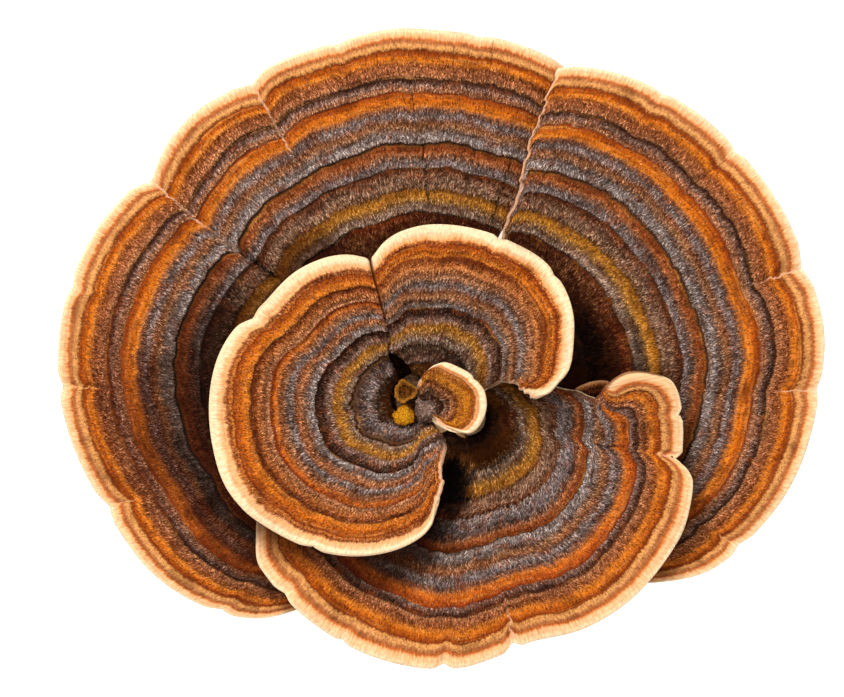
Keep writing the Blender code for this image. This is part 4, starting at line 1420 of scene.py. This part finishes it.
def upper_face(finish, cap):
    """Colour of a cap's upper face with its pale rim and side edges, and its fine streaks."""
    colour, light, hair, (angle, share, side, streak) = growth_look(finish, cap)
    rim = finish.ease(0.03, 0.0, hair)
    round_rim = angle * (math.pi / 180 * cap.size * STRIAE)
    stria = finish.streaks(round_rim, share * cap.size * 0.5, 2.0)
    colour = finish.tint(colour, rim * finish.ease(0.52, 0.36, stria) * 0.28, ORANGE_TAN)
    colour = finish.tint(colour, rim * finish.ease(0.5, 0.65, stria) * 0.3, CREAM)
    # The flesh is darker under its hair: painted shade
    colour = shaded(finish, colour, light * (1 - hair * 0.35))
    for sign, tint in zip((-1, 1), cap.edges):
        edge = finish.ease(0.42, 0.12, abs(side) + (streak - 0.5) * 0.5) * (side * sign > 0)
        edge = edge * finish.ease(0.42, 0.62, share) * (0.5 + streak * 0.6)
        colour = finish.tint(colour, edge, tint)
    return colour, share, streak


def pore_face(finish, place, margin):
    """Colour of the underside, and how open its pores are."""
    pore = finish.node("TexVoronoi", {"feature": "F1"}, Vector=place, Scale=3.2)
    hollow = finish.ease(0.12, 0.42, Number(finish, pore.outputs["Distance"]))
    colour = finish.tint(linear(PORES_PALE), finish.noise(place, 0.25, 3.0), PORES_TAN)
    # Each pore's hollow is darker: painted shade
    colour = finish.tint(colour, (1 - hollow) * 0.55, PORE_HOLE_SHADE)
    return finish.tint(colour, margin, CREAM), hollow


def cap_finish(cap):
    """Leathery flesh with growth bands above, pores below and pale side edges."""
    finish = Finish(cap.name + "_flesh")
    above, share, streak = upper_face(finish, cap)
    place = finish.place()
    margin = finish.ease(1 - MARGIN / cap.size, 1.0, share)
    below, hollow = pore_face(finish, place, margin)
    under = finish.ease(0.5, 0.9, finish.attribute("below"))
    grain = finish.noise(place, 6.0, 3.0, 0.6)
    height = (1 - under) * (streak * 0.6 + grain * 0.35) + under * (1 - margin) * hollow * 0.8
    finish.set(Base_Color=finish.mix(under, above, below), Roughness=0.75 + grain * 0.2)
    finish.set(Normal=finish.bump(height, 0.00015), Specular_IOR_Level=0.08)
    return finish.material


def hair_finish(cap):
    """Hair in its band's colour, darker at the root with painted shade, each hair a little different."""
    finish = Finish(cap.name + "_hair")
    colour, light, _, _ = growth_look(finish, cap, strands=False)
    own, along, _ = finish.attribute_parts("strand")
    pale = finish.tint(colour, own * along * 0.26, HAIR_PALE)
    tone = shaded(finish, pale, light * (0.35 + own * 0.9))
    tone = finish.brighten(tone, (0.5 + own * 0.78) * (0.74 + along * 0.38))
    finish.set(Base_Color=tone, Roughness=0.8, Specular_IOR_Level=0.04)
    return finish.material


def foot_finish():
    """Pale fibrous flesh, a sawn face below, and dark velvet on the necks among the caps."""
    finish = Finish("foot_flesh")
    place = finish.place()
    x, y, z = finish.parts(place)
    turn = y.maths("ARCTAN2", x)
    distance = (x * x + y * y).maths("SQRT")
    fibre = finish.streaks(turn * 9.0, z * 0.5, 3.0, 4.0)
    saw = finish.streaks(x * 0.25, y * 3.0, 1.0)
    pith = finish.streaks(distance * 1.4, turn * 0.8, 5.0)
    cloudy = finish.noise(place, 0.5, 4.0, 0.6)
    grain = finish.noise(place, 5.0, 3.0, 0.6)
    bark = finish.ease(2.4, 0.6, z + (cloudy - 0.5) * 3.0)
    colour = finish.tint(linear(WOOD_PALE), finish.ease(0.35, 0.65, cloudy), WOOD_TAN)
    colour = finish.tint(colour, finish.ease(0.55, 0.75, fibre) * 0.6, WOOD_FIBRE)
    colour = finish.tint(colour, bark * 0.7, BARK)
    outer = finish.ease(10.5, 13.2, distance + (cloudy - 0.5) * 3.0)
    cut = finish.tint(linear(CUT_PALE), finish.ease(0.4, 0.62, pith), CUT_TAN)
    cut = finish.tint(cut, finish.ease(0.5, 0.7, saw) * 0.4, SAW_MARK)
    cut = finish.tint(cut, outer * 0.75, CUT_OUTER)
    sawn = finish.ease(0.06, 0.02, z)
    velvet = finish.ease(10.2, 12.6, z + (cloudy - 0.5) * 2.0)
    fuzzy = finish.tint(linear(NECK_DARK), finish.ease(0.35, 0.65, grain), NECK_BROWN)
    colour = finish.mix(velvet, finish.mix(sawn, colour, cut), fuzzy)
    height = fibre * 0.7 + grain * 0.4 + saw * sawn * 0.5
    finish.set(Base_Color=colour, Roughness=0.78 + grain * 0.18, Normal=finish.bump(height, 0.0002))
    finish.set(Specular_IOR_Level=0.12)
    return finish.material


def small_finish(name, dark, middle, pale, low, high, fuzz=False):
    """Mottled flesh that pales towards its frill. As fuzz it is for the hairs on it."""
    finish = Finish(name)
    place = finish.place()
    _, _, z = finish.parts(place)
    mottle = finish.noise(place, 2.2, 3.0, 0.6)
    grain = finish.noise(place, 9.0, 2.0, 0.6)
    colour = finish.tint(linear(dark), finish.ease(0.38, 0.62, mottle), middle)
    colour = finish.tint(colour, finish.ease(low, high, z + (grain - 0.5) * 0.5) * 0.8, pale)
    light = 0.55 + finish.ease(0.35, 0.65, grain) * 0.45
    if fuzz:
        own, along, _ = finish.attribute_parts("strand")
        light = (0.25 + own * 0.95) * (0.6 + along * 0.5)
        colour = finish.tint(colour, own * along * 0.25, pale)
    else:
        finish.set(Normal=finish.bump(mottle * 0.5 + grain * 0.5, 0.00012))
    finish.set(Base_Color=shaded(finish, colour, light), Roughness=0.75 + grain * 0.2)
    finish.set(Specular_IOR_Level=0.06)
    return finish.material


# Pieces with their finishes

def finish_piece(piece, material, slot, *nodes):
    piece.data.materials.clear()
    piece.data.materials.append(material)
    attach(piece, BODY)
    if nodes:
        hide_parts(*nodes)


MOST_HAIRS = 95000      # in one piece


def make_caps():
    for cap in CAPS:
        finish_piece(add_cap(cap), cap_finish(cap), "cap_velvet", cap.node)
        layout_by_place(bpy.data.objects[cap.name])
        material = hair_finish(cap)
        pieces = math.ceil(cap.hairs / MOST_HAIRS)
        for number in range(pieces):
            name = cap.name.replace("cap", "velvet").replace("flap", "velvet") + f"_{number + 1}"
            hair = add_hair(cap, name, cap.hairs // pieces, cap.seed * 100 + number)
            finish_piece(hair, material, "cap_velvet")


def make_foot():
    finish = foot_finish()
    finish_piece(add_turned("foot_wood", FOOT_PATH, 220, 200, foot_uneven), finish, "foot_wood", "foot")
    finish_piece(add_turned("foot_neck", NECK_PATH, 90, 70, neck_uneven), finish, "foot_wood")


KNOB_FUZZ = (4500, 0.36)        # how many hairs, and their length
BUD_FUZZ = (1500, 0.14)
FUZZ_SEED = 81


def make_knob():
    knob = add_knob()
    finish_piece(knob, small_finish("knob_flesh", *KNOB_LOOK), "cap_velvet")
    fuzz = add_fuzz("knob_fuzz", knob, *KNOB_FUZZ, FUZZ_SEED)
    finish_piece(fuzz, small_finish("knob_hair", *KNOB_LOOK, fuzz=True), "cap_velvet")


# Name, its solid, its rings, turn of its frill, and look
BUDS = (
    ("bud_brown", "brown_bud", BROWN_BUD_PATH, 0.4, BROWN_LOOK),
    ("bud_gold", "gold_bud", GOLD_BUD_PATH, 2.1, GOLD_LOOK),
)


def make_buds():
    for number, (name, node, path, phase, look) in enumerate(BUDS):
        bud = add_turned(name, path, 84, 56, bud_uneven(phase))
        finish_piece(bud, small_finish(name + "_flesh", *look), name, node)
        fuzz = add_fuzz(name + "_fuzz", bud, *BUD_FUZZ, FUZZ_SEED + 2 + number)
        finish_piece(fuzz, small_finish(name + "_hair", *look, fuzz=True), name)


# Stage

CAMERA_HEIGHT = 0.75
CAMERA_OVER = (-0.00259, 0.007405)
VIEW_WIDTH = 0.12434    # width that the picture shows at the floor
FLOOR_HEIGHT = -0.0002  # just under the cut face
LIT_POINT = (0, 0, 0.015)


def make_camera():
    data = bpy.data.cameras.new("camera")
    data.sensor_width = 36.0
    data.lens = data.sensor_width * CAMERA_HEIGHT / VIEW_WIDTH
    data.clip_start, data.clip_end = 0.01, 20.0
    camera = bpy.data.objects.new("camera", data)
    camera.location = (*CAMERA_OVER, CAMERA_HEIGHT)
    bpy.context.scene.collection.objects.link(camera)
    bpy.context.scene.camera = camera


def add_light(name, size, place, watts):
    data = bpy.data.lights.new(name, "AREA")
    data.size, data.energy = size, watts
    light = bpy.data.objects.new(name, data)
    light.location = place
    light.rotation_euler = (Vector(LIT_POINT) - Vector(place)).to_track_quat("-Z", "Y").to_euler()
    bpy.context.scene.collection.objects.link(light)


def make_stage():
    bpy.ops.object.select_all(action="DESELECT")
    bpy.ops.mesh.primitive_plane_add(size=3.0, location=(0, 0, FLOOR_HEIGHT))
    floor = bpy.context.object
    floor.name = "floor"
    finish = Finish("white_paper")
    finish.set(Base_Color=(0.85, 0.85, 0.85, 1.0), Roughness=0.9, Emission_Strength=0.5)
    finish.set(Emission_Color=(1.0, 1.0, 1.0, 1.0))
    floor.data.materials.append(finish.material)
    world = bpy.data.worlds.new("studio")
    world.use_nodes = True
    world.node_tree.nodes["Background"].inputs["Color"].default_value = (1, 1, 1, 1)
    world.node_tree.nodes["Background"].inputs["Strength"].default_value = 0.6
    bpy.context.scene.world = world
    add_light("key", 0.3, (-0.3, 0.45, 0.7), 7.6)
    add_light("fill", 0.6, (0.5, -0.3, 0.8), 3.0)
    bpy.context.scene.view_settings.view_transform = "Standard"


make_caps()
make_foot()
make_knob()
make_buds()
make_stage()
make_camera()
